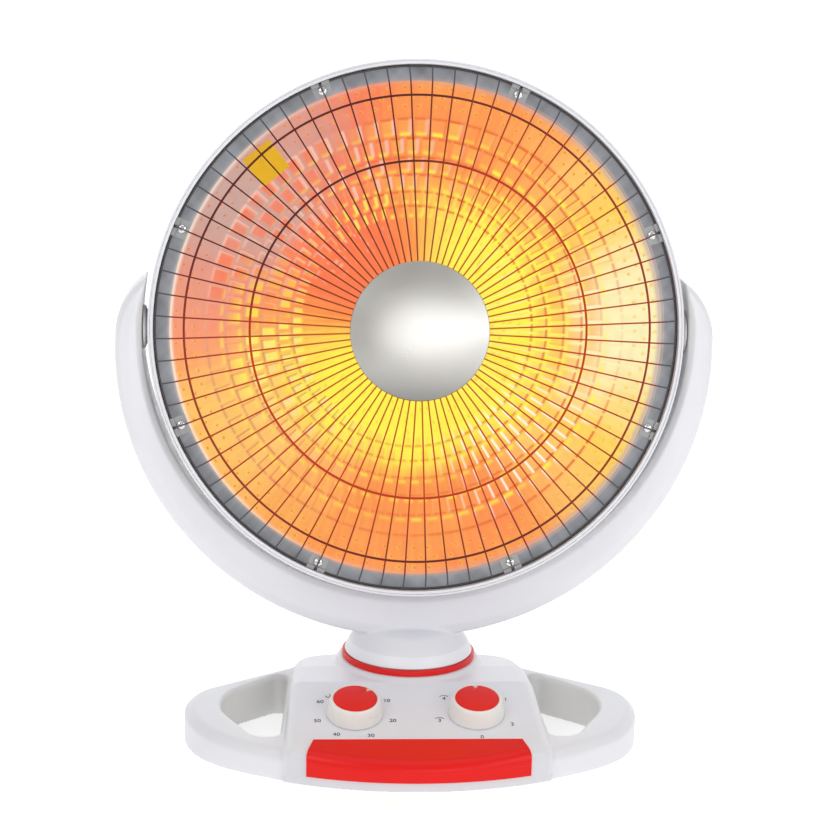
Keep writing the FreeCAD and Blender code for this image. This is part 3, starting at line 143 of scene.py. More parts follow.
def lathe(name, profile, place=UPRIGHT, closed=False, steps=160, sharp=35.0):
    """A (radius, height) profile turned about the place's third axis."""
    vertices, rings, faces = [], [], []
    for radius, height in profile:
        first = len(vertices)
        count = 1 if radius < 1e-6 else steps
        for turn in range(count):
            angle = 2 * math.pi * turn / steps
            vertices.append((radius * math.cos(angle), radius * math.sin(angle), height))
        rings.append(range(first, first + count))
    pairs = list(zip(rings, rings[1:]))
    if closed:
        pairs.append((rings[-1], rings[0]))
    for low, high in pairs:
        for turn in range(steps if len(low) + len(high) > 2 else 0):
            after = (turn + 1) % steps
            if len(low) == 1:
                faces.append((low[0], high[turn], high[after]))
            elif len(high) == 1:
                faces.append((low[turn], low[after], high[0]))
            else:
                faces.append((low[turn], low[after], high[after], high[turn]))
    return add_piece(name, vertices, faces, place, sharp)


def rounded(profile, radius, parts):
    """A closed profile with its corners rounded off as far as its sides allow."""
    points = [Vector(p) for p in profile]
    result = []
    for index, corner in enumerate(points):
        before, after = points[index - 1], points[(index + 1) % len(points)]
        cut = min(radius, (corner - before).length * 0.45, (after - corner).length * 0.45)
        start = corner + (before - corner).normalized() * cut
        end = corner + (after - corner).normalized() * cut
        for part in range(parts + 1):
            t = part / parts
            result.append(tuple(start * (1 - t) ** 2 + corner * (2 * t * (1 - t)) + end * t * t))
    return result


def sweep_data(path, radius, sides, closed=False, across=Vector((0, 0, 1))):
    """Vertices and faces of a round bar along a path."""
    vertices = []
    count = len(path)
    points = [Vector(p) for p in path]
    for index, point in enumerate(points):
        before = points[index - 1] if index or closed else point
        after = points[(index + 1) % count] if closed or index < count - 1 else point
        along = (after - before).normalized()
        side = along.cross(across).normalized()
        rise = side.cross(along)
        for turn in range(sides):
            angle = 2 * math.pi * turn / sides
            vertices.append(point + radius * (math.cos(angle) * side + math.sin(angle) * rise))
    faces = bands(count, sides, closed)
    if not closed:
        faces += [tuple(range(sides)), tuple(range((count - 1) * sides, count * sides))]
    return vertices, faces


def circle(radius, forward, parts):
    return [(radius * math.cos(2 * math.pi * t / parts), radius * math.sin(2 * math.pi * t / parts), forward)
            for t in range(parts)]


def joined(parts):
    """One list of vertices and faces from several."""
    vertices, faces = [], []
    for some_vertices, some_faces in parts:
        first = len(vertices)
        vertices += some_vertices
        faces += [tuple(first + corner for corner in face) for face in some_faces]
    return vertices, faces


def paint(piece, name, values):
    """Stores a number or a colour for each vertex under a name that a material reads."""
    kind = "FLOAT_COLOR" if hasattr(values[0], "__len__") else "FLOAT"
    attribute = piece.data.attributes.new(name, kind, "POINT")
    flat = [part for value in values for part in value] if kind == "FLOAT_COLOR" else values
    attribute.data.foreach_set("color" if kind == "FLOAT_COLOR" else "value", flat)


VOXEL = 1.0
FACES_KEPT = 0.35


def softened(name, nodes, rounds, forms=()):
    """A copy of CAD nodes, with other forms, as one moulding whose edges are melted to a small round."""
    bm = bmesh.new()
    for node in nodes:
        bm.from_mesh(frame["nodes"][node].data)
    for form in forms:
        bm.from_mesh(form.data)
        bpy.data.objects.remove(form)
    bmesh.ops.remove_doubles(bm, verts=bm.verts, dist=0.01 * MM)
    mesh = bpy.data.meshes.new(name)
    bm.to_mesh(mesh)
    bm.free()
    source = bpy.data.objects.new(name + "_source", mesh)
    bpy.context.scene.collection.objects.link(source)
    remesh = source.modifiers.new("remesh", "REMESH")
    remesh.mode = "VOXEL"
    remesh.voxel_size = VOXEL * MM
    smooth = source.modifiers.new("smooth", "SMOOTH")
    smooth.factor = 0.5
    smooth.iterations = rounds
    source.modifiers.new("decimate", "DECIMATE").ratio = FACES_KEPT
    graph = bpy.context.evaluated_depsgraph_get()
    result = bpy.data.meshes.new_from_object(source.evaluated_get(graph))
    bpy.data.objects.remove(source)
    result.name = name
    result.materials.clear()
    result.shade_smooth()
    piece = bpy.data.objects.new(name, result)
    bpy.context.scene.collection.objects.link(piece)
    return piece


# ---- materials
class Shader:
    """A material under construction: a principled shader and short ways to feed it."""

    def __init__(self, name, **constants):
        self.material = bpy.data.materials.new(name)
        self.material.use_nodes = True
        self.nodes = self.material.node_tree.nodes
        self.links = self.material.node_tree.links
        self.bsdf = self.nodes["Principled BSDF"]
        for socket, value in constants.items():
            self.bsdf.inputs[socket.replace("_", " ")].default_value = value
        self.place = self.nodes.new("ShaderNodeTexCoord").outputs["Object"]

    def noise(self, scale, detail=4.0, roughness=0.55):
        node = self.nodes.new("ShaderNodeTexNoise")
        node.inputs["Scale"].default_value = scale
        node.inputs["Detail"].default_value = detail
        node.inputs["Roughness"].default_value = roughness
        self.links.new(self.place, node.inputs["Vector"])
        return node.outputs["Fac"]

    def ramp(self, value, *stops):
        """A colour between two stops of (value, colour)."""
        node = self.nodes.new("ShaderNodeValToRGB")
        for element, stop in zip(node.color_ramp.elements, stops):
            element.position, element.color = stop
        self.links.new(value, node.inputs["Fac"])
        return node.outputs["Color"]

    def spread(self, value, low, high):
        """A noise's middle values drawn out from low to high."""
        node = self.nodes.new("ShaderNodeMapRange")
        node.inputs["From Min"].default_value = 0.3
        node.inputs["From Max"].default_value = 0.7
        node.inputs["To Min"].default_value = low
        node.inputs["To Max"].default_value = high
        self.links.new(value, node.inputs["Value"])
        return node.outputs["Result"]

    def attribute(self, name, colour=False):
        node = self.nodes.new("ShaderNodeAttribute")
        node.attribute_name = name
        return node.outputs["Color" if colour else "Fac"]

    def multiplied(self, base, over, share=1.0):
        """One colour times another, which is a socket or fixed."""
        node = self.nodes.new("ShaderNodeMix")
        node.data_type = "RGBA"
        node.blend_type = "MULTIPLY"
        node.inputs["Factor"].default_value = share
        self.links.new(base, node.inputs["A"])
        if isinstance(over, tuple):
            node.inputs["B"].default_value = over
        else:
            self.links.new(over, node.inputs["B"])
        return node.outputs["Result"]

    def feed(self, socket, value):
        self.links.new(value, self.bsdf.inputs[socket])

    def bump(self, value, height, strength=0.5):
        node = self.nodes.new("ShaderNodeBump")
        node.inputs["Distance"].default_value = height * MM
        node.inputs["Strength"].default_value = strength
        self.links.new(value, node.inputs["Height"])
        self.links.new(node.outputs["Normal"], self.bsdf.inputs["Normal"])


def scaled(colour, factor):
    return tuple(min(1.0, part * factor) for part in colour[:3]) + (1.0,)


def moulded(name, colour, roughness, grain=0.02, tint="", **constants):
    """Moulded plastic: slight clouding, uneven gloss and a fine grain, times the painted light and shade in the
    attribute that tint names, if one is given.
    """
    shader = Shader(name, **constants)
    clouds = shader.noise(18.0, 3.0)
    base = shader.ramp(clouds, (0.3, scaled(colour, 0.965)), (0.7, colour))
    if tint:
        base = shader.multiplied(base, shader.attribute(tint, True))
    shader.feed("Base Color", base)
    shader.feed("Roughness", shader.spread(shader.noise(90.0, 5.0), roughness - 0.05, roughness + 0.05))
    shader.bump(shader.noise(2600.0, 2.0), grain)
    return shader.material


def metal(name, colour, roughness):
    """Sheet metal with faint marks."""
    shader = Shader(name, Metallic=1.0)
    marks = shader.noise(400.0, 6.0, 0.6)
    shader.feed("Base Color", shader.ramp(marks, (0.3, scaled(colour, 0.88)), (0.7, colour)))
    shader.feed("Roughness", shader.spread(marks, roughness - 0.06, roughness + 0.08))
    shader.bump(marks, 0.02, 0.3)
    return shader.material


WHITE = (0.80, 0.813, 0.865, 1.0)
LIT_BASE = (0.12, 0.12, 0.12, 1.0)  # how much of a lit piece's colour the studio's light shows
RED = (0.80, 0.011, 0.010, 1.0)
# the beige of the painted shade in the grip openings and inside the yoke
PAINTED_SHADE_BEIGE = (0.84, 0.82, 0.75, 1.0)
PLAIN = (1.0, 1.0, 1.0, 1.0)  # a tint that changes nothing

shell_white = moulded("shell_white", WHITE, 0.34)
# the shell white times the painted light and shade stored on the base and the yoke
shell_painted_shading = moulded("shell_painted_shading", WHITE, 0.34, tint="painted_light_and_shade")
# painted light: a brighter copy of the shell white, for the neck under the yoke
shell_painted_light = moulded("shell_painted_light", scaled(WHITE, 1.09), 0.34)
knob_white = moulded("knob_white", (0.84, 0.825, 0.80, 1.0), 0.3)
clip_steel = metal("clip_steel", (0.42, 0.43, 0.44, 1.0), 0.5)
red_gloss = moulded("red_gloss", RED, 0.36, Specular_IOR_Level=0.35)
dark_nylon = moulded("dark_nylon", (0.03, 0.03, 0.034, 1.0), 0.5)
inner_nylon = moulded("inner_nylon", (0.62, 0.61, 0.57, 1.0), 0.45)
rubber = moulded("rubber", (0.035, 0.035, 0.036, 1.0), 0.75, 0.06)
chrome = metal("chrome", (0.80, 0.80, 0.81, 1.0), 0.16)
zinc = metal("zinc", (0.60, 0.61, 0.62, 1.0), 0.32)
ceramic = moulded("ceramic", (0.80, 0.76, 0.68, 1.0), 0.7, 0.08)
hoop_steel = metal("hoop_steel", (0.11, 0.112, 0.118, 1.0), 0.45)


def smooth_red():
    """The wrapped trim: even gloss and a slight clouding."""
    shader = Shader("trim_red", Roughness=0.28, Specular_IOR_Level=0.22)
    clouds = shader.noise(12.0, 1.0)
    shader.feed("Base Color", shader.ramp(clouds, (0.3, scaled(RED, 0.97)), (0.7, RED)))
    return shader.material


def glowing_coil():
    shader = Shader("coil_glow", Roughness=0.6, Emission_Strength=3.0)
    heat = shader.noise(60.0, 2.0)
    colour = shader.ramp(heat, (0.3, (1.0, 0.30, 0.05, 1)), (0.7, (1.0, 0.50, 0.14, 1)))
    shader.feed("Base Color", colour)
    shader.feed("Emission Color", colour)
    return shader.material


CAD_LOOKS = {
    "shell_plastic": shell_white, "red_plastic": red_gloss, "dark_plastic": dark_nylon,
    "inner_plastic": inner_nylon, "soft_rubber": rubber, "dish_metal": zinc, "guard_wire": hoop_steel,
    "brushed_disc": zinc, "plated_steel": chrome, "zinc_steel": zinc, "ceramic_body": ceramic,
    "hot_coil": glowing_coil(),
}
NODE_LOOKS = {"guard_clips": clip_steel, "friction_washers": knob_white, "pivot_brackets": knob_white,
              "pivot_bushes": knob_white, "front_trim": smooth_red()}


def dress_cad():
    """Gives every CAD node the finished material of its slot."""
    for name, node in frame["nodes"].items():
        slot_name = node.material_slots[0].material.name.split(".")[0]
        look = NODE_LOOKS.get(name, CAD_LOOKS.get(slot_name, shell_white))
        for material_slot in node.material_slots:
            material_slot.link = "OBJECT"
            material_slot.material = look


def wear(piece, material, slot, body, *nodes):
    piece.data.materials.clear()
    piece.data.materials.append(material)
    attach(piece, body)
    if nodes:
        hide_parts(*nodes)
    return piece


# ---- dish
DISH_RADIUS = 171.0
DISH_FOCUS = 104.0
FLANGE_FRONT = 15.0
FLANGE_RADIUS = 182.1
SOCKET_RADIUS = 22.0
SOCKET_BACK = -55.0
DISH_SHEET = 1.0
DISH_LIGHT = 0.9
BRICKS = 75
BRICK_ROWS = ((147.5, 135.5), (134.3, 122.9), (121.2, 110.3), (109.2, 98.4), (97.4, 88.4), (87.3, 78.9))
BRICK_HEIGHT = 0.8
BRICK_GAP = 0.7  # from a brick's side to the line between two bricks
BRICK_SLOPE = 1.1
DOTS = 96
DOT_ROWS = (167.2, 160.6, 154.6)
DOT_RADIUS = 1.7
DOT_HEIGHT = 0.6

YELLOW = srgb(255, 248, 84)
GOLD = srgb(255, 214, 92)
LIGHT = srgb(255, 200, 108)
ORANGE = srgb(255, 156, 82)
RED_ORANGE = srgb(254, 124, 84)
PALE = srgb(255, 246, 190)
GREY_PINK = srgb(206, 168, 158)
SOFT_LILAC = srgb(196, 172, 172)
PINK_WHITE = srgb(250, 204, 186)
SALMON = srgb(255, 150, 122)
DEEP = srgb(232, 98, 34)
BROWN_PINK = srgb(218, 140, 100)
GLINT = srgb(255, 255, 238)
FLANGE_GREY = srgb(150, 152, 158)


def flange_colour(radius, angle):
    """Dull plated steel, cloudy, with painted light from the lit dish on its inner part, fading to painted
    shade at its outer edge.
    """
    x, y = radius * math.cos(angle), radius * math.sin(angle)
    cloud = wave(3.1 * x, 2.7 * y, 5.0) + 0.6 * wave(9.0 * x, 8.0 * y, 1.0)
    painted_glow_falloff = 0.24 * step(178, 172, radius) - 0.22 * step(178, 182, radius)
    return scaled(FLANGE_GREY, 0.98 + 0.22 * cloud + painted_glow_falloff)


def dish_forward(radius):
    return FLANGE_FRONT - (DISH_RADIUS**2 - radius**2) / (4 * DISH_FOCUS)


def mixed(one, other, share):
    return tuple(a + (b - a) * share for a, b in zip(one, other))


def graded(value, *stops):
    """A colour between stops of (value, colour)."""
    low, colour = stops[0]
    for high, next_colour in stops[1:]:
        if value < high:
            return mixed(colour, next_colour, max(0.0, (value - low) / (high - low)))
        low, colour = high, next_colour
    return colour


def wave(x, y, seed):
    """Cheap smooth noise from -1 to 1 over the dish, in millimetres."""
    return (math.sin(x * 0.071 + seed) * math.cos(y * 0.083 - seed * 1.7)
            + math.sin((x + y) * 0.037 + seed * 2.3) + math.sin((x - y) * 0.113 + seed * 0.6) * 0.5) / 2.5


def chance(row, column, seed):
    """A fixed number from 0 to 1 for each pressed brick."""
    return (math.sin(row * 78.233 + column * 12.9898 + seed * 37.719) * 43758.5453) % 1.0


def brick_at(radius, angle):
    """The pressed brick at a place: row, column and mm in from its outer, inner, clockwise and other side."""
    for row, (outer, inner) in enumerate(BRICK_ROWS):
        if inner <= radius <= outer:
            cell = angle / (2 * math.pi) * BRICKS + 0.5 * (row % 2)
            column = math.floor(cell)
            pitch = 2 * math.pi / BRICKS * radius
            clockwise = (cell - column) * pitch - BRICK_GAP
            other = pitch - 2 * BRICK_GAP - clockwise
            return row, column % BRICKS, outer - radius, radius - inner, clockwise, other
    return None


def dot_share(radius, angle):
    """1 at the middle of a pressed dot, 0 outside."""
    for row, dot_radius in enumerate(DOT_ROWS):
        if abs(radius - dot_radius) < DOT_RADIUS:
            cell = angle / (2 * math.pi) * DOTS + 0.5 * (row % 2)
            u = (cell - round(cell)) * 2 * math.pi / DOTS * radius
            return max(0.0, 1 - math.hypot(u, radius - dot_radius) / DOT_RADIUS)
    return 0.0


def pressed_height(radius, angle):
    """Height of the pressed pattern over the smooth dish."""
    brick = brick_at(radius, angle)
    if brick:
        inside = min(brick[2:])
        return BRICK_HEIGHT * step(0.0, BRICK_SLOPE, inside - 0.2)
    return DOT_HEIGHT * step(0.0, 1.0, dot_share(radius, angle))


def line(distance, middle=0.9, half=0.95):
    """How much a place lies on the sloping edge of a brick."""
    return step(0.0, 1.0, 1 - abs(distance - middle) / half)


def facing_at(degrees):
    """A function that tells how near this angle is to a direction: 1 on it, 0 a width away."""
    def facing(direction, width):
        away = abs((degrees - direction + 180) % 360 - 180)
        return step(0, 1, 1 - away / width)

    return facing


def smooth_glow(radius, angle, facing):
    """The dish's painted glow between the pressings, yellow by the coil and grey in the painted shade to the
    upper left, and how deep that shade is.
    """
    x, y = radius * math.cos(angle), radius * math.sin(angle)
    degrees = math.degrees(angle)
    shade = facing(134, 92)
    streak = math.sin(degrees * 2.3 + 1.2 * math.sin(degrees * 0.7)) * math.sin(degrees * 0.9 + radius * 0.04)
    ripple = 0.06 * wave(x, y, 3.0) + 0.03 * streak
    level = 0.30 + 0.72 * facing(0, 70) + 0.26 * facing(208, 56) - 0.36 * facing(140, 54)
    outer = graded(level + ripple, (-0.06, GREY_PINK), (0.06, mixed(GREY_PINK, RED_ORANGE, 0.6)),
                   (0.16, RED_ORANGE), (0.32, ORANGE), (0.55, LIGHT), (0.75, GOLD), (1.0, PALE))
    inner = graded(shade + 2 * ripple, (0.02, YELLOW), (0.3, GOLD), (0.55, ORANGE), (0.85, RED_ORANGE))
    fan = math.sin(degrees * 3.1 + 2.0 * math.sin(degrees * 0.9)) * math.cos(degrees * 1.3 + radius * 0.03)
    ray = step(0.1, 0.8, fan)
    colour = mixed(inner, mixed(PALE, GLINT, 0.4), ray * facing(5, 100) * step(125, 80, radius) * 0.55)
    colour = mixed(colour, ORANGE, ray * facing(120, 70) * step(110, 80, radius) * 0.5)
    spread = step(84, 122, radius + 7 * wave(x, y, 1.0) + 6 * facing(-95, 70) - 8 * facing(20, 60))
    middle = mixed(mixed(GOLD, ORANGE, 0.3), SALMON, facing(140, 66))
    colour = mixed(colour, mixed(middle, outer, step(0.25, 0.9, spread)), spread)
    colour = mixed(colour, SALMON, facing(176, 26) * step(110, 140, radius) * 0.8)
    grey = facing(144, 50) * step(110, 150, radius + 20 * wave(x, y, 2.0))
    return mixed(colour, GREY_PINK, grey * 0.85), grey


def brick_glow(colour, grey, radius, brick, facing):
    """A pressed brick: its flat, then its sloping ends and sides, which mirror the coil or the shade."""
    row, column, from_outer, from_inner, clockwise, other = brick
    face = step(0.2, 1.4, min(brick[2:]))
    luck = chance(row, column, 1.0)
    luck_two = chance(row, column, 2.0)
    left = facing(184, 42) * step(138, 122, radius)
    colour = mixed(colour, YELLOW, face * (luck > 0.35) * left * 0.8)
    red = face * (luck_two > 0.35) * facing(140, 50) * step(92, 100, radius)
    colour = mixed(colour, RED_ORANGE, red * 0.7)
    colour = mixed(colour, ORANGE, face * facing(66, 46) * (0.35 + 0.4 * luck) * step(84, 100, radius))
    colour = mixed(colour, RED_ORANGE, face * (luck > 0.5) * grey * 0.9)
    warm = facing(10, 85) * step(80, 100, radius) * step(140, 126, radius)
    colour = mixed(colour, mixed(LIGHT, ORANGE, 0.3), face * warm * (0.45 + 0.3 * luck))
    colour = mixed(colour, PALE, face * 0.6 * facing(214, 50) * luck_two * step(140, 100, radius))
    colour = mixed(colour, ORANGE, face * 0.35 * luck_two * facing(-100, 60))
    colour = mixed(colour, GOLD, face * 0.4 * luck * facing(85, 50))
    between = min(clockwise, other)
    across = step(-0.3, 0.8, between)
    inner_end = step(3.2, 1.0, from_inner) * step(0.2, 2.2, between) * (0.25 + 0.75 * luck_two)
    inner_end *= (1 - 0.95 * facing(150, 62)) * (1 - 0.5 * facing(215, 50)) * (1 - 0.45 * facing(-95, 60))
    colour = mixed(colour, YELLOW, inner_end * 0.95)
    dark = mixed(DEEP, BROWN_PINK, max(facing(200, 70), 0.3 * facing(0, 40)))
    fade = 1 - 0.75 * facing(0, 34) * step(124, 138, radius)
    end_line = line(from_outer, 0.9, 1.3) * across * (0.7 + 0.3 * luck)
    colour = mixed(colour, dark, end_line * (0.95 - 0.35 * facing(-95, 50)) * (1 - grey) * fade)
    ends = min(from_outer, from_inner)
    along = step(0.0, 1.0, ends)
    side_line = line(clockwise) * along
    side_dark = max(facing(50, 56), facing(214, 56), 0.4 * facing(-10, 40)) * (0.6 + 0.4 * luck_two)
    colour = mixed(colour, dark, side_line * side_dark * fade * step(80, 92, radius + 12 * facing(214, 60)))
    bright = line(clockwise, 1.0, 1.25) * along * facing(-46, 42) * step(76, 90, radius)
    colour = mixed(colour, GLINT, min(1.0, bright * 1.5) * step(150, 140, radius + 6 * luck))
    stripe = step(1.9, 0.7, abs(clockwise - 1.6)) * step(0.0, 1.6, ends) * facing(112, 56)
    colour = mixed(colour, mixed(PINK_WHITE, YELLOW, 0.9 * (radius < 99)), stripe * (luck > 0.25) * 0.8)
    return mixed(colour, PINK_WHITE, max(end_line, side_line) * max(grey, 0.8 * facing(150, 50)) * 0.8)


def speckled(colour, radius, angle, facing):
    """The small reflections inside the rows of bricks."""
    x, y = radius * math.cos(angle), radius * math.sin(angle)
    specks = math.sin(x * 0.61 + 3 * math.sin(y * 0.23)) * math.sin(y * 0.53 + 3 * math.sin(x * 0.31))
    colour = mixed(colour, ORANGE, 0.5 * step(0.75, 0.98, specks) * (1 - facing(134, 92)))
    patch = step(0.62, 0.95, specks) * facing(130, 40) * step(58, 66, radius)
    return mixed(colour, PINK_WHITE, 0.8 * patch)


def glow_colour(radius, angle):
    """What the lit dish shows at a place, from its distance to the coil and the slope of the pressing."""
    facing = facing_at(math.degrees(angle))
    colour, grey = smooth_glow(radius, angle, facing)
    brick = brick_at(radius, angle)
    if brick:
        colour = brick_glow(colour, grey, radius, brick, facing)
    elif radius < BRICK_ROWS[-1][1]:
        colour = speckled(colour, radius, angle, facing)
    dot = dot_share(radius, angle)
    if dot:
        colour = mixed(colour, GOLD, 0.5 * step(0.0, 0.4, dot) * (1 - grey))
        colour = mixed(colour, DEEP, 0.7 * step(0.3, 0.7, dot) * (1 - 0.85 * facing(-12, 66)))
    mouth = step(168.4, 170.4, radius)
    colour = mixed(colour, mixed(PINK_WHITE, GLINT, 0.5), mouth * facing(180, 100) * 0.9)
    return mixed(colour, SOFT_LILAC, step(167.2, 170.0, radius) * facing(0, 140) * 0.75)


def dish_radii():
    """Rings of the dish's mesh, close together where the pressing is steep."""
    radii = [SOCKET_RADIUS, 32.0, 42.0] + [48.0 + 2.1 * part for part in range(15)]
    for outer, inner in reversed(BRICK_ROWS):
        radii += [inner, inner + 0.5, inner + 1.2, inner + 2.0, inner + 3.4]
        middle = outer - inner - 6.2
        radii += [inner + 3.4 + middle * part / 3 for part in (1, 2)]
        radii += [outer - 2.8, outer - 2.0, outer - 1.4, outer - 0.9, outer - 0.4, outer]
    radii += [148.6, 150.2, 151.8]
    for dot in reversed(DOT_ROWS):
        radii += [dot + part for part in (-1.8, -1.2, -0.6, 0.0, 0.6, 1.2, 1.8)]
    return sorted(set(radii + [157.6, 163.9])) + [169.7, 170.4, DISH_RADIUS]


def dish_turns():
    """Angles of the dish's mesh, close together by the bricks' sides, which alternate rows share."""
    half = math.pi / BRICKS
    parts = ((0.0, 0.14, 0.24, 0.34, 0.44, 0.56, 0.76))
    return [half * (cell + part) for cell in range(2 * BRICKS) for part in parts]


def build_dish():
    """The pressed reflector with its flat dull flange and the hole for the element's holder. Dish and flange
    emit painted light: the coil's glow, its reflections and the shade, stored on each vertex.
    """
    turns = dish_turns()
    vertices, colours, lit = [], [], []
    for radius in dish_radii():
        lean = math.atan(radius / (2 * DISH_FOCUS))
        for angle in turns:
            rise = pressed_height(radius, angle)
            out = radius - rise * math.sin(lean)
            vertices.append((out * math.cos(angle), out * math.sin(angle),
                             dish_forward(radius) + rise * math.cos(lean)))
            colours.append(glow_colour(radius, angle))
            lit.append(DISH_LIGHT)
    profile = [(DISH_RADIUS + part, FLANGE_FRONT) for part in (0.5, 1.2, 1.8, 2.4, 3.5, 5.0, 7.0, 9.0)]
    profile += [(FLANGE_RADIUS - 0.4, FLANGE_FRONT), (FLANGE_RADIUS, FLANGE_FRONT - 0.3),
                (FLANGE_RADIUS, FLANGE_FRONT - DISH_SHEET), (DISH_RADIUS + 1.0, FLANGE_FRONT - DISH_SHEET)]
    profile += [(radius, dish_forward(radius) - DISH_SHEET) for radius in range(166, 21, -12)]
    profile.append((SOCKET_RADIUS, SOCKET_BACK))
    # the flange glows with painted light: its grey is emitted, the dish's painted glow spills over its inner
    # edge, and a painted pinkish highlight runs along the right of its edge
    for radius, forward in profile:
        on_flange = radius > DISH_RADIUS and forward > FLANGE_FRONT - 0.5
        spill = 0.4 * step(DISH_RADIUS + 2.4, DISH_RADIUS, radius)
        rim_painted_highlight = 0.45 * step(0.7, 0.0, abs(radius - DISH_RADIUS - 1.8))
        for angle in turns:
            vertices.append((radius * math.cos(angle), radius * math.sin(angle), forward))
            edge = mixed(flange_colour(radius, angle), glow_colour(DISH_RADIUS - 1.0, angle), spill)
            edge = mixed(edge, PINK_WHITE, rim_painted_highlight * step(-0.2, 0.9, math.cos(angle)))
            colours.append(edge if on_flange else scaled(FLANGE_GREY, 0.5))
            lit.append(DISH_LIGHT * (0.75 + 0.25 * spill) if on_flange else 0.0)
    faces = bands(len(vertices) // len(turns), len(turns), closed=True)
    dish = add_piece("dish", vertices, faces, HEAD, 60.0)
    paint(dish, "glow", colours)
    paint(dish, "lit", lit)
    shader = Shader("lit_dish", Metallic=0.4)
    mottle = shader.ramp(shader.noise(120.0, 6.0), (0.3, (0.90, 0.88, 0.86, 1)), (0.65, PLAIN))
    shown = shader.multiplied(shader.attribute("glow", True), mottle, 0.6)
    shader.feed("Emission Color", shown)
    shader.feed("Base Color", shader.multiplied(shown, LIT_BASE))
    shader.feed("Emission Strength", shader.attribute("lit"))
    shader.feed("Roughness", shader.spread(shader.noise(200.0, 3.0), 0.28, 0.4))
    wear(dish, shader.material, "dish_metal", "head", "reflector")


def build_sticker():
    """A plain yellow label on the dish, bent to it."""
    side, cells = 23.0, 8
    radius, direction, turn = 154.9, math.radians(132.9), math.radians(3.5)
    vertices, faces = [], []
    for layer in (0.9, 1.15):  # over the pressed dots
        for row in range(cells + 1):
            for column in range(cells + 1):
                u = (column / cells - 0.5) * side
                v = (row / cells - 0.5) * side
                u, v = u * math.cos(turn) - v * math.sin(turn), u * math.sin(turn) + v * math.cos(turn)
                x = (radius + v) * math.cos(direction) - u * math.sin(direction)
                y = (radius + v) * math.sin(direction) + u * math.cos(direction)
                vertices.append((x, y, dish_forward(math.hypot(x, y)) + layer))
    stride = cells + 1
    half = stride * stride
    for row in range(cells):
        for column in range(cells):
            corner = row * stride + column
            face = (corner, corner + 1, corner + stride + 1, corner + stride)
            faces += [face, tuple(half + c for c in reversed(face))]
    edge = (list(range(cells)) + [cells + part * stride for part in range(cells)]
            + [half - 1 - part for part in range(cells)] + [(cells - part) * stride for part in range(cells)])
    for index, corner in enumerate(edge):
        after = edge[(index + 1) % len(edge)]
        faces.append((corner, after, half + after, half + corner))
    sticker = add_piece("label", vertices, faces, HEAD, 50.0)
    paper = moulded("label_paper", srgb(238, 190, 18), 0.45, 0.03)
    wear(sticker, paper, "red_plastic", "head")


# ---- guard
WIRES = 72
CAD_WIRE = 1.5
WIRE_RADIUS = 0.52
RING_WIRE = 0.78
HOOP_WIRE = 0.8
HOOP_RADIUS = 181.3
HOOP_FRONT = 16.6
BEND_RADIUS = 170.9
BEND_FRONT = 25.0
CROWN_FRONT = 39.0
HUB_RING = 43.0
RINGS = (161.0, 116.0, HUB_RING + 1.8)

WIRE_GREY = srgb(84, 86, 92)
WIRE_MAROON = srgb(86, 26, 24)
WIRE_RED = srgb(198, 54, 20)
WIRE_BROWN = srgb(160, 50, 28)
WIRE_OLIVE = srgb(192, 98, 22)


def wire_forward(radius):
    """The middle of a radial wire, ahead of the tilt axis."""
    share = (BEND_RADIUS - radius) / (BEND_RADIUS - HUB_RING)
    return BEND_FRONT + CAD_WIRE / 2 + share * (CROWN_FRONT - BEND_FRONT)


def guard_shader():
    shader = Shader("guard_wire_lit", Metallic=0.4, Emission_Strength=0.85)
    tint = shader.ramp(shader.noise(240.0, 3.0), (0.3, (0.86, 0.86, 0.86, 1)), (0.7, PLAIN))
    shown = shader.multiplied(shader.attribute("glow", True), tint, 0.7)
    shader.feed("Emission Color", shown)
    shader.feed("Base Color", shader.multiplied(shown, LIT_BASE))
    shader.feed("Roughness", shader.spread(shader.noise(90.0, 3.0), 0.42, 0.55))
    return shader.material


def wire_colour(vertex):
    """Painted light on the steel: grey over the rim, dark in the shade of the upper left, and red to olive by
    the coil.
    """
    radius = math.hypot(vertex[0], vertex[1])
    degrees = math.degrees(math.atan2(vertex[1], vertex[0]))
    away = abs((degrees - 126 + 180) % 360 - 180)
    colour = mixed(WIRE_BROWN, WIRE_RED, step(165, 110, radius))
    colour = mixed(colour, WIRE_OLIVE, step(88, 52, radius))
    colour = mixed(colour, WIRE_MAROON, step(64, 26, away) * (1 - 0.3 * step(110, 60, radius)))
    colour = mixed(colour, WIRE_MAROON, 0.6 * step(50, 10, abs(degrees + 78)) * step(120, 150, radius))
    return mixed(colour, WIRE_GREY, step(168.5, 172.5, radius))


def ring_colour(vertex):
    """The rings are a little darker than the wires, most at the top and the bottom."""
    radius = math.hypot(vertex[0], vertex[1])
    upright = step(0.55, 1.0, abs(vertex[1]) / radius)
    return mixed(wire_colour(vertex), WIRE_MAROON, (0.15 + 0.55 * upright) * step(100, 160, radius))


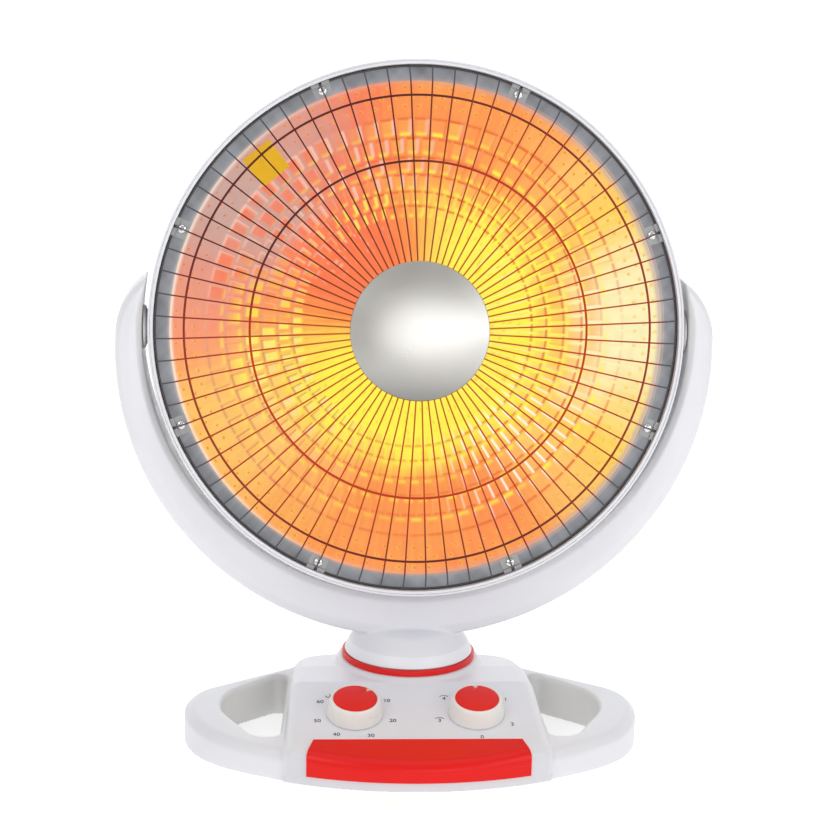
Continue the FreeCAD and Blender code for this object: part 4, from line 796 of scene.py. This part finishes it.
def build_guard():
    """The radial wires, which bend down at the rim, the rings behind them and the rim's hoop."""
    profile = [(radius, wire_forward(radius)) for radius in (HUB_RING, 60, 80, 100, 116, 130, 145, 158, 165)]
    profile += [(169.4, wire_forward(169.4) - 0.1), (171.6, BEND_FRONT + 0.1), (173.8, BEND_FRONT - 1.7),
                (HOOP_RADIUS - 0.3, HOOP_FRONT + 0.3)]
    wires = []
    for turn in range(WIRES):
        angle = 2 * math.pi * (turn + 0.5) / WIRES
        outward = Vector((math.cos(angle), math.sin(angle), 0))
        side = Vector((-math.sin(angle), math.cos(angle), 0))
        path = [outward * radius + Vector((0, 0, forward)) for radius, forward in profile]
        wires.append(sweep_data(path, WIRE_RADIUS, 8, across=side))
    vertices, faces = joined(wires)
    piece = add_piece("guard_spokes", vertices, faces, HEAD, 60.0)
    paint(piece, "glow", [wire_colour(v) for v in vertices])
    material = guard_shader()
    wear(piece, material, "guard_wire", "head", "guard_radial_wires")
    rings = []
    for radius in RINGS:
        forward = wire_forward(radius) - WIRE_RADIUS - RING_WIRE * 0.9
        rings.append(sweep_data(circle(radius, forward, 240), RING_WIRE, 10, closed=True))
    vertices, faces = joined(rings)
    piece = add_piece("guard_ring_wires", vertices, faces, HEAD, 60.0)
    paint(piece, "glow", [ring_colour(v) for v in vertices])
    wear(piece, material, "guard_wire", "head", "guard_rings")
    hoop = circle(HOOP_RADIUS, HOOP_FRONT - HOOP_WIRE, 288)
    vertices, faces = sweep_data(hoop, HOOP_WIRE, 12, closed=True)
    piece = add_piece("guard_rim_wire", vertices, faces, HEAD, 60.0)
    wear(piece, hoop_steel, "guard_wire", "head", "guard_hoop")


DISC_RADIUS = 48.0
DISC_BACK = 40.6
DISC_CROWN = 3.4


def build_disc():
    """Spun disc, crowned, with a rolled edge."""
    profile = [(0, DISC_BACK + DISC_CROWN + 1.0)]
    for part in range(1, 15):
        share = part / 15
        profile.append((DISC_RADIUS * share * 0.985, DISC_BACK + 1.0 + DISC_CROWN * (1 - share**2.4)))
    profile += [(DISC_RADIUS - 0.5, DISC_BACK + 1.0), (DISC_RADIUS - 0.1, DISC_BACK + 0.6),
                (DISC_RADIUS, DISC_BACK + 0.1), (DISC_RADIUS - 0.4, DISC_BACK - 0.3),
                (DISC_RADIUS - 2, DISC_BACK - 0.2), (0, DISC_BACK + DISC_CROWN - 0.6)]
    disc = lathe("guard_centre", profile, HEAD)
    shader = Shader("satin_disc", Metallic=1.0)
    fine = shader.noise(30.0, 2.0)
    satin = shader.ramp(fine, (0.25, (0.62, 0.61, 0.59, 1)), (0.75, (0.64, 0.63, 0.61, 1)))
    shader.feed("Base Color", shader.multiplied(satin, shader.attribute("disc_painted_shade", True)))
    shader.feed("Roughness", shader.spread(fine, 0.27, 0.30))
    # painted shade: the disc's colour darkens toward its bottom
    drops = [TILT_AXIS_Z - vertex.co.z for vertex in disc.data.vertices]
    paint(disc, "disc_painted_shade", [scaled(PLAIN, 1 - 0.6 * step(0.008, 0.046, drop)) for drop in drops])
    wear(disc, shader.material, "brushed_disc", "head", "guard_disc")


CLIP_SCREWS = 176.2
SCREW_SIDES = 32


def build_clip_screws():
    """Pan-head screws with a cross-shaped recess, on the eight clips."""
    head = ((3.2, 0.0), (3.2, 0.5), (2.9, 1.2), (2.1, 1.75), (1.5, 1.9), (0.7, 1.9), (0.5, 0.9))
    arms = {0.7: 0.85, 0.5: 0.55}  # how far the recess's arms reach past those two radii
    parts = []
    for turn in range(8):
        angle = math.radians(22.5 + 45 * turn)
        spin = random.uniform(0, math.pi)
        centre = Vector((CLIP_SCREWS * math.cos(angle), CLIP_SCREWS * math.sin(angle), FLANGE_FRONT + 1.1))
        vertices = []
        for radius, height in head:
            for side in range(SCREW_SIDES):
                theta = 2 * math.pi * side / SCREW_SIDES
                reach = radius + arms.get(radius, 0.0) * abs(math.cos(2 * (theta - spin))) ** 6
                vertices.append(centre + Vector((reach * math.cos(theta), reach * math.sin(theta), height)))
        faces = bands(len(head), SCREW_SIDES)
        faces += [tuple(range(len(vertices) - SCREW_SIDES, len(vertices))), tuple(range(SCREW_SIDES))]
        parts.append((vertices, faces))
    vertices, faces = joined(parts)
    wear(add_piece("rim_screws", vertices, faces, HEAD, 30.0), chrome, "plated_steel", "head", "clip_screws")


# ---- stand
GRIP_X = 108.0
GRIP_Y = -45.0


def base_painted_shading(vertex):
    """Painted shade: a beige cast on the walls that look into the grip openings, and the front wall painted a
    little darker.
    """
    x, y, z = (value / MM for value in vertex.co)
    inward = Vector((math.copysign(GRIP_X, x) - x, GRIP_Y - y, 0.0)).normalized().dot(vertex.normal)
    near = step(40, 32, abs(abs(x) - GRIP_X)) * step(62, 54, abs(y - GRIP_Y)) * step(34, 31, z)
    front = 1 - 0.13 * step(0.3, 0.9, -vertex.normal.y) * step(96, 86, abs(x))
    return scaled(mixed(PLAIN, PAINTED_SHADE_BEIGE, 0.8 * near * step(0.1, 0.6, inward)), front)


def yoke_painted_shading(vertex):
    """Painted shade: a beige cast inside the crescent; painted light makes its foot and the dome brighter."""
    x, _, z = vertex.co
    inward = Vector((-x, 0.0, TILT_AXIS_Z - z)).normalized().dot(vertex.normal)
    # painted light: brighter toward the foot and over the dome
    white = 1 + 0.10 * step(0.20, 0.09, z) + 0.06 * step(0.082, 0.074, z)
    return scaled(mixed(PLAIN, PAINTED_SHADE_BEIGE, 0.6 * step(0.2, 0.8, inward) * step(0.085, 0.1, z)), white)


def build_stand():
    """The base, yoke, neck and ring as mouldings with melted edges."""
    shell = softened("base_moulding", ("base_top_shell", "base_bottom_plate"), rounds=9)
    # painted shade on the base: beige in the grip openings, darker on the front wall
    paint(shell, "painted_light_and_shade", [base_painted_shading(vertex) for vertex in shell.data.vertices])
    wear(shell, shell_painted_shading, "shell_plastic", "base", "base_top_shell", "base_bottom_plate")
    dome = [(0.0, 55.5), (43.9, 55.5), (43.9, 56.6), (43.0, 58.6), (41.6, 60.8), (39.9, 62.9), (38.0, 65.0),
            (36.2, 67.2), (34.2, 69.6), (31.0, 71.6), (26.0, 72.8), (0.0, 73.2)]
    yoke = softened("yoke_moulding", ("yoke_front",), rounds=12, forms=[lathe("dome", dome, closed=True)])
    # painted shade inside the crescent and painted light at the yoke's foot
    paint(yoke, "painted_light_and_shade", [yoke_painted_shading(vertex) for vertex in yoke.data.vertices])
    wear(yoke, shell_painted_shading, "shell_plastic", "swivel", "yoke_front")
    cover = softened("yoke_back_moulding", ("yoke_rear_cover",), rounds=9)
    wear(cover, shell_white, "shell_plastic", "swivel", "yoke_rear_cover")
    bell = [(21.0, 47.9), (27.0, 47.9), (27.0, 51.6), (30.0, 52.3), (43.4, 51.4), (45.6, 51.35), (46.0, 51.8),
            (45.8, 52.8), (45.1, 54.4), (44.1, 56.4), (43.1, 58.4), (41.7, 60.5), (40.6, 61.6), (38.0, 61.6),
            (24.0, 60.0), (21.0, 60.0)]
    neck = lathe("neck_moulding", bell, closed=True)
    # painted light: the neck wears the brighter copy of the shell white
    wear(neck, shell_painted_light, "shell_plastic", "swivel", "swivel_neck")
    ring = rounded([(45.05, 46.6), (47.9, 46.6), (47.9, 51.0), (45.05, 51.0)], radius=0.9, parts=4)
    wear(lathe("ring_moulding", ring, closed=True), red_gloss, "red_plastic", "base", "red_ring")


# ---- dials
def build_dial(name, x, pointer, body, knob_node, cap_node):
    """A tapered knob with a red disc let into its top. The disc has a notch that points."""
    profile = [(17.4, 0.5), (19.4, 0.5), (19.3, 1.3), (17.75, 10.2), (17.2, 11.9), (16.4, 12.75), (15.5, 12.9),
               (15.2, 12.6), (15.15, 11.6), (0, 11.6), (0, 9.6), (15.4, 9.6), (17.4, 0.5)]
    place = panel_place(x)
    knob = lathe(name + "_dial", profile, place, steps=96, sharp=50.0)
    wear(knob, knob_white, "shell_plastic", body, knob_node)
    turned = place @ Matrix.Rotation(-math.radians(pointer), 4, "Z")
    radius, notch_half, notch_in = 15.05, 2.2, 3.6
    start = math.asin(notch_half / radius)
    around = [start + (2 * math.pi - 2 * start) * part / 72 for part in range(73)]
    edge = [(radius * math.sin(angle), radius * math.cos(angle)) for angle in around]
    edge.append((0.0, radius - notch_in))
    count = len(edge)
    vertices = []
    levels = ((0.0, 11.65), (0.0, 12.6), (0.12, 12.82), (0.4, 12.9))
    for inset, height in levels:
        for px, py in edge:
            length = math.hypot(px, py)
            vertices.append((px * (length - inset) / length, py * (length - inset) / length, height))
    faces = bands(len(levels), count) + [tuple(range(count))]
    top = len(vertices)
    vertices.append((0, 0, 13.0))
    faces += [(top - count + index, top - count + (index + 1) % count, top) for index in range(count)]
    wear(add_piece(name + "_disc", vertices, faces, turned, 50.0), red_gloss, "red_plastic", body, cap_node)


MARK_DISTANCE = 27.2
MARK_SIZE = 5.0


def number_mark(number, x, degrees):
    """A printed number beside a dial, at an angle clockwise from the back."""
    data = bpy.data.curves.new("number", "FONT")
    data.body = number
    data.size = MARK_SIZE * MM
    data.extrude = 0.04 * MM
    data.align_x = "CENTER"
    data.align_y = "CENTER"
    text = bpy.data.objects.new("number", data)
    bpy.context.scene.collection.objects.link(text)
    angle = math.radians(degrees)
    offset = Vector((MARK_DISTANCE * math.sin(angle), MARK_DISTANCE * math.cos(angle), 0.16)) * MM
    graph = bpy.context.evaluated_depsgraph_get()
    mesh = bpy.data.meshes.new_from_object(text.evaluated_get(graph))
    bpy.data.objects.remove(text)
    mesh.transform(panel_place(x) @ Matrix.Translation(offset))
    return mesh


def arc_mark(x, distance, degrees, inner, outer, span, middle=0.0):
    """A printed arc, ring or dot beside a dial."""
    angle = math.radians(degrees)
    cx, cy = distance * math.sin(angle), distance * math.cos(angle)
    vertices = []
    parts = 24
    for part in range(parts + 1):
        theta = math.radians(middle + (part / parts - 0.5) * span)
        for radius, height in ((inner, 0.12), (outer, 0.12), (outer, 0.20), (inner, 0.20)):
            vertices.append((cx + radius * math.sin(theta), cy + radius * math.cos(theta), height))
    faces = bands(parts + 1, 4) + [(0, 1, 2, 3), tuple(parts * 4 + corner for corner in range(4))]
    mesh = bpy.data.meshes.new("arc")
    mesh.from_pydata([panel_place(x) @ (Vector(v) * MM) for v in vertices], [], faces)
    return mesh


def build_marks():
    ink = moulded("print_ink", (0.03, 0.03, 0.032, 1.0), 0.5, 0.01)
    minutes = (("10", 57), ("20", 108), ("30", 158), ("40", 209), ("50", 252), ("60", 300))
    modes = (("1", 54), ("2", 118), ("0", 176), ("3", 252), ("4", 309))
    meshes = [number_mark(number, -DIAL_X, degrees) for number, degrees in minutes]
    meshes += [number_mark(number, DIAL_X, degrees) for number, degrees in modes]
    meshes += [arc_mark(-DIAL_X, 0, 0, 22.8, 24.4, 20, 343.0),
               arc_mark(-DIAL_X, 25.2, 22, 0.0, 1.7, 360),
               arc_mark(-DIAL_X, 25.6, 34, 1.3, 2.2, 360),
               arc_mark(-DIAL_X, MARK_DISTANCE, 319, 1.4, 2.0, 250, 150.0)]
    meshes += [arc_mark(DIAL_X, MARK_DISTANCE, degrees, 3.4, 3.8, 110) for degrees in (252, 309)]
    bm = bmesh.new()
    for mesh in meshes:
        bm.from_mesh(mesh)
    result = bpy.data.meshes.new("dial_marks")
    bmesh.ops.recalc_face_normals(bm, faces=bm.faces)
    bm.to_mesh(result)
    bm.free()
    piece = bpy.data.objects.new("dial_marks", result)
    bpy.context.scene.collection.objects.link(piece)
    wear(piece, ink, "dark_plastic", "base")


# ---- studio
def build_studio():
    """A pale sheet that sweeps up behind the part, a warm surround and soft lamps, all in metres."""
    reach, floor_end, sweep, wall_top = 14.0, 1.4, 1.2, 3.2
    profile = [(-reach, 0.0), (floor_end, 0.0)]
    bends = [part * math.pi / 24 for part in range(1, 13)]
    profile += [(floor_end + sweep * math.sin(bend), sweep * (1 - math.cos(bend))) for bend in bends]
    profile.append((floor_end + sweep, wall_top))
    vertices, faces = [], []
    for y, z in profile:
        vertices += [(-reach / MM, y / MM, z / MM), (reach / MM, y / MM, z / MM)]
    for index in range(len(profile) - 1):
        faces.append((2 * index, 2 * index + 1, 2 * index + 3, 2 * index + 2))
    floor = add_piece("studio_floor", vertices, faces, Matrix.Translation((0, 0, -0.0002)), 180.0)
    shader = Shader("paper_white", Roughness=0.9, Emission_Strength=0.36)
    colour = shader.ramp(shader.noise(6.0, 2.0), (0.3, (0.93, 0.93, 0.93, 1)), (0.7, (0.95, 0.95, 0.95, 1)))
    shader.feed("Base Color", colour)
    shader.feed("Emission Color", colour)
    floor.data.materials.append(shader.material)

    world = bpy.data.worlds.new("studio")
    bpy.context.scene.world = world
    world.use_nodes = True
    background = world.node_tree.nodes["Background"]
    background.inputs["Color"].default_value = (1.0, 0.975, 0.93, 1.0)
    background.inputs["Strength"].default_value = 0.42

    def softbox(name, place, aim, width, height, power, spread=180):
        data = bpy.data.lights.new(name, "AREA")
        data.shape = "RECTANGLE"
        data.size, data.size_y = width, height
        data.energy = power
        data.spread = math.radians(spread)
        lamp = bpy.data.objects.new(name, data)
        bpy.context.scene.collection.objects.link(lamp)
        lamp.location = place
        lamp.rotation_euler = (Vector(aim) - Vector(place)).to_track_quat("-Z", "Y").to_euler()

    softbox("key", (-1.3, -1.7, 1.5), (0, 0, 0.25), 1.2, 1.2, 11)
    softbox("fill", (1.5, -1.5, 1.1), (0, 0, 0.25), 1.2, 1.2, 9)
    softbox("strip", (0.52, -2.6, 0.62), (0, 0, 0.29), 1.5, 0.3, 5.4)
    softbox("top", (0, -0.2, 2.1), (0, 0, 0), 1.8, 1.8, 8)
    softbox("backdrop", (0, 0.9, 2.2), (0, 2.2, 0.9), 2.4, 1.0, 14, 110)
    bpy.context.scene.view_settings.view_transform = "Standard"


make_camera()
dress_cad()
build_dish()
build_sticker()
build_guard()
build_disc()
build_clip_screws()
build_stand()
build_dial("timer", -DIAL_X, 43.0, "timer_dial", "timer_knob", "timer_cap")
build_dial("mode", DIAL_X, 0.0, "mode_dial", "mode_knob", "mode_cap")
build_marks()
build_studio()
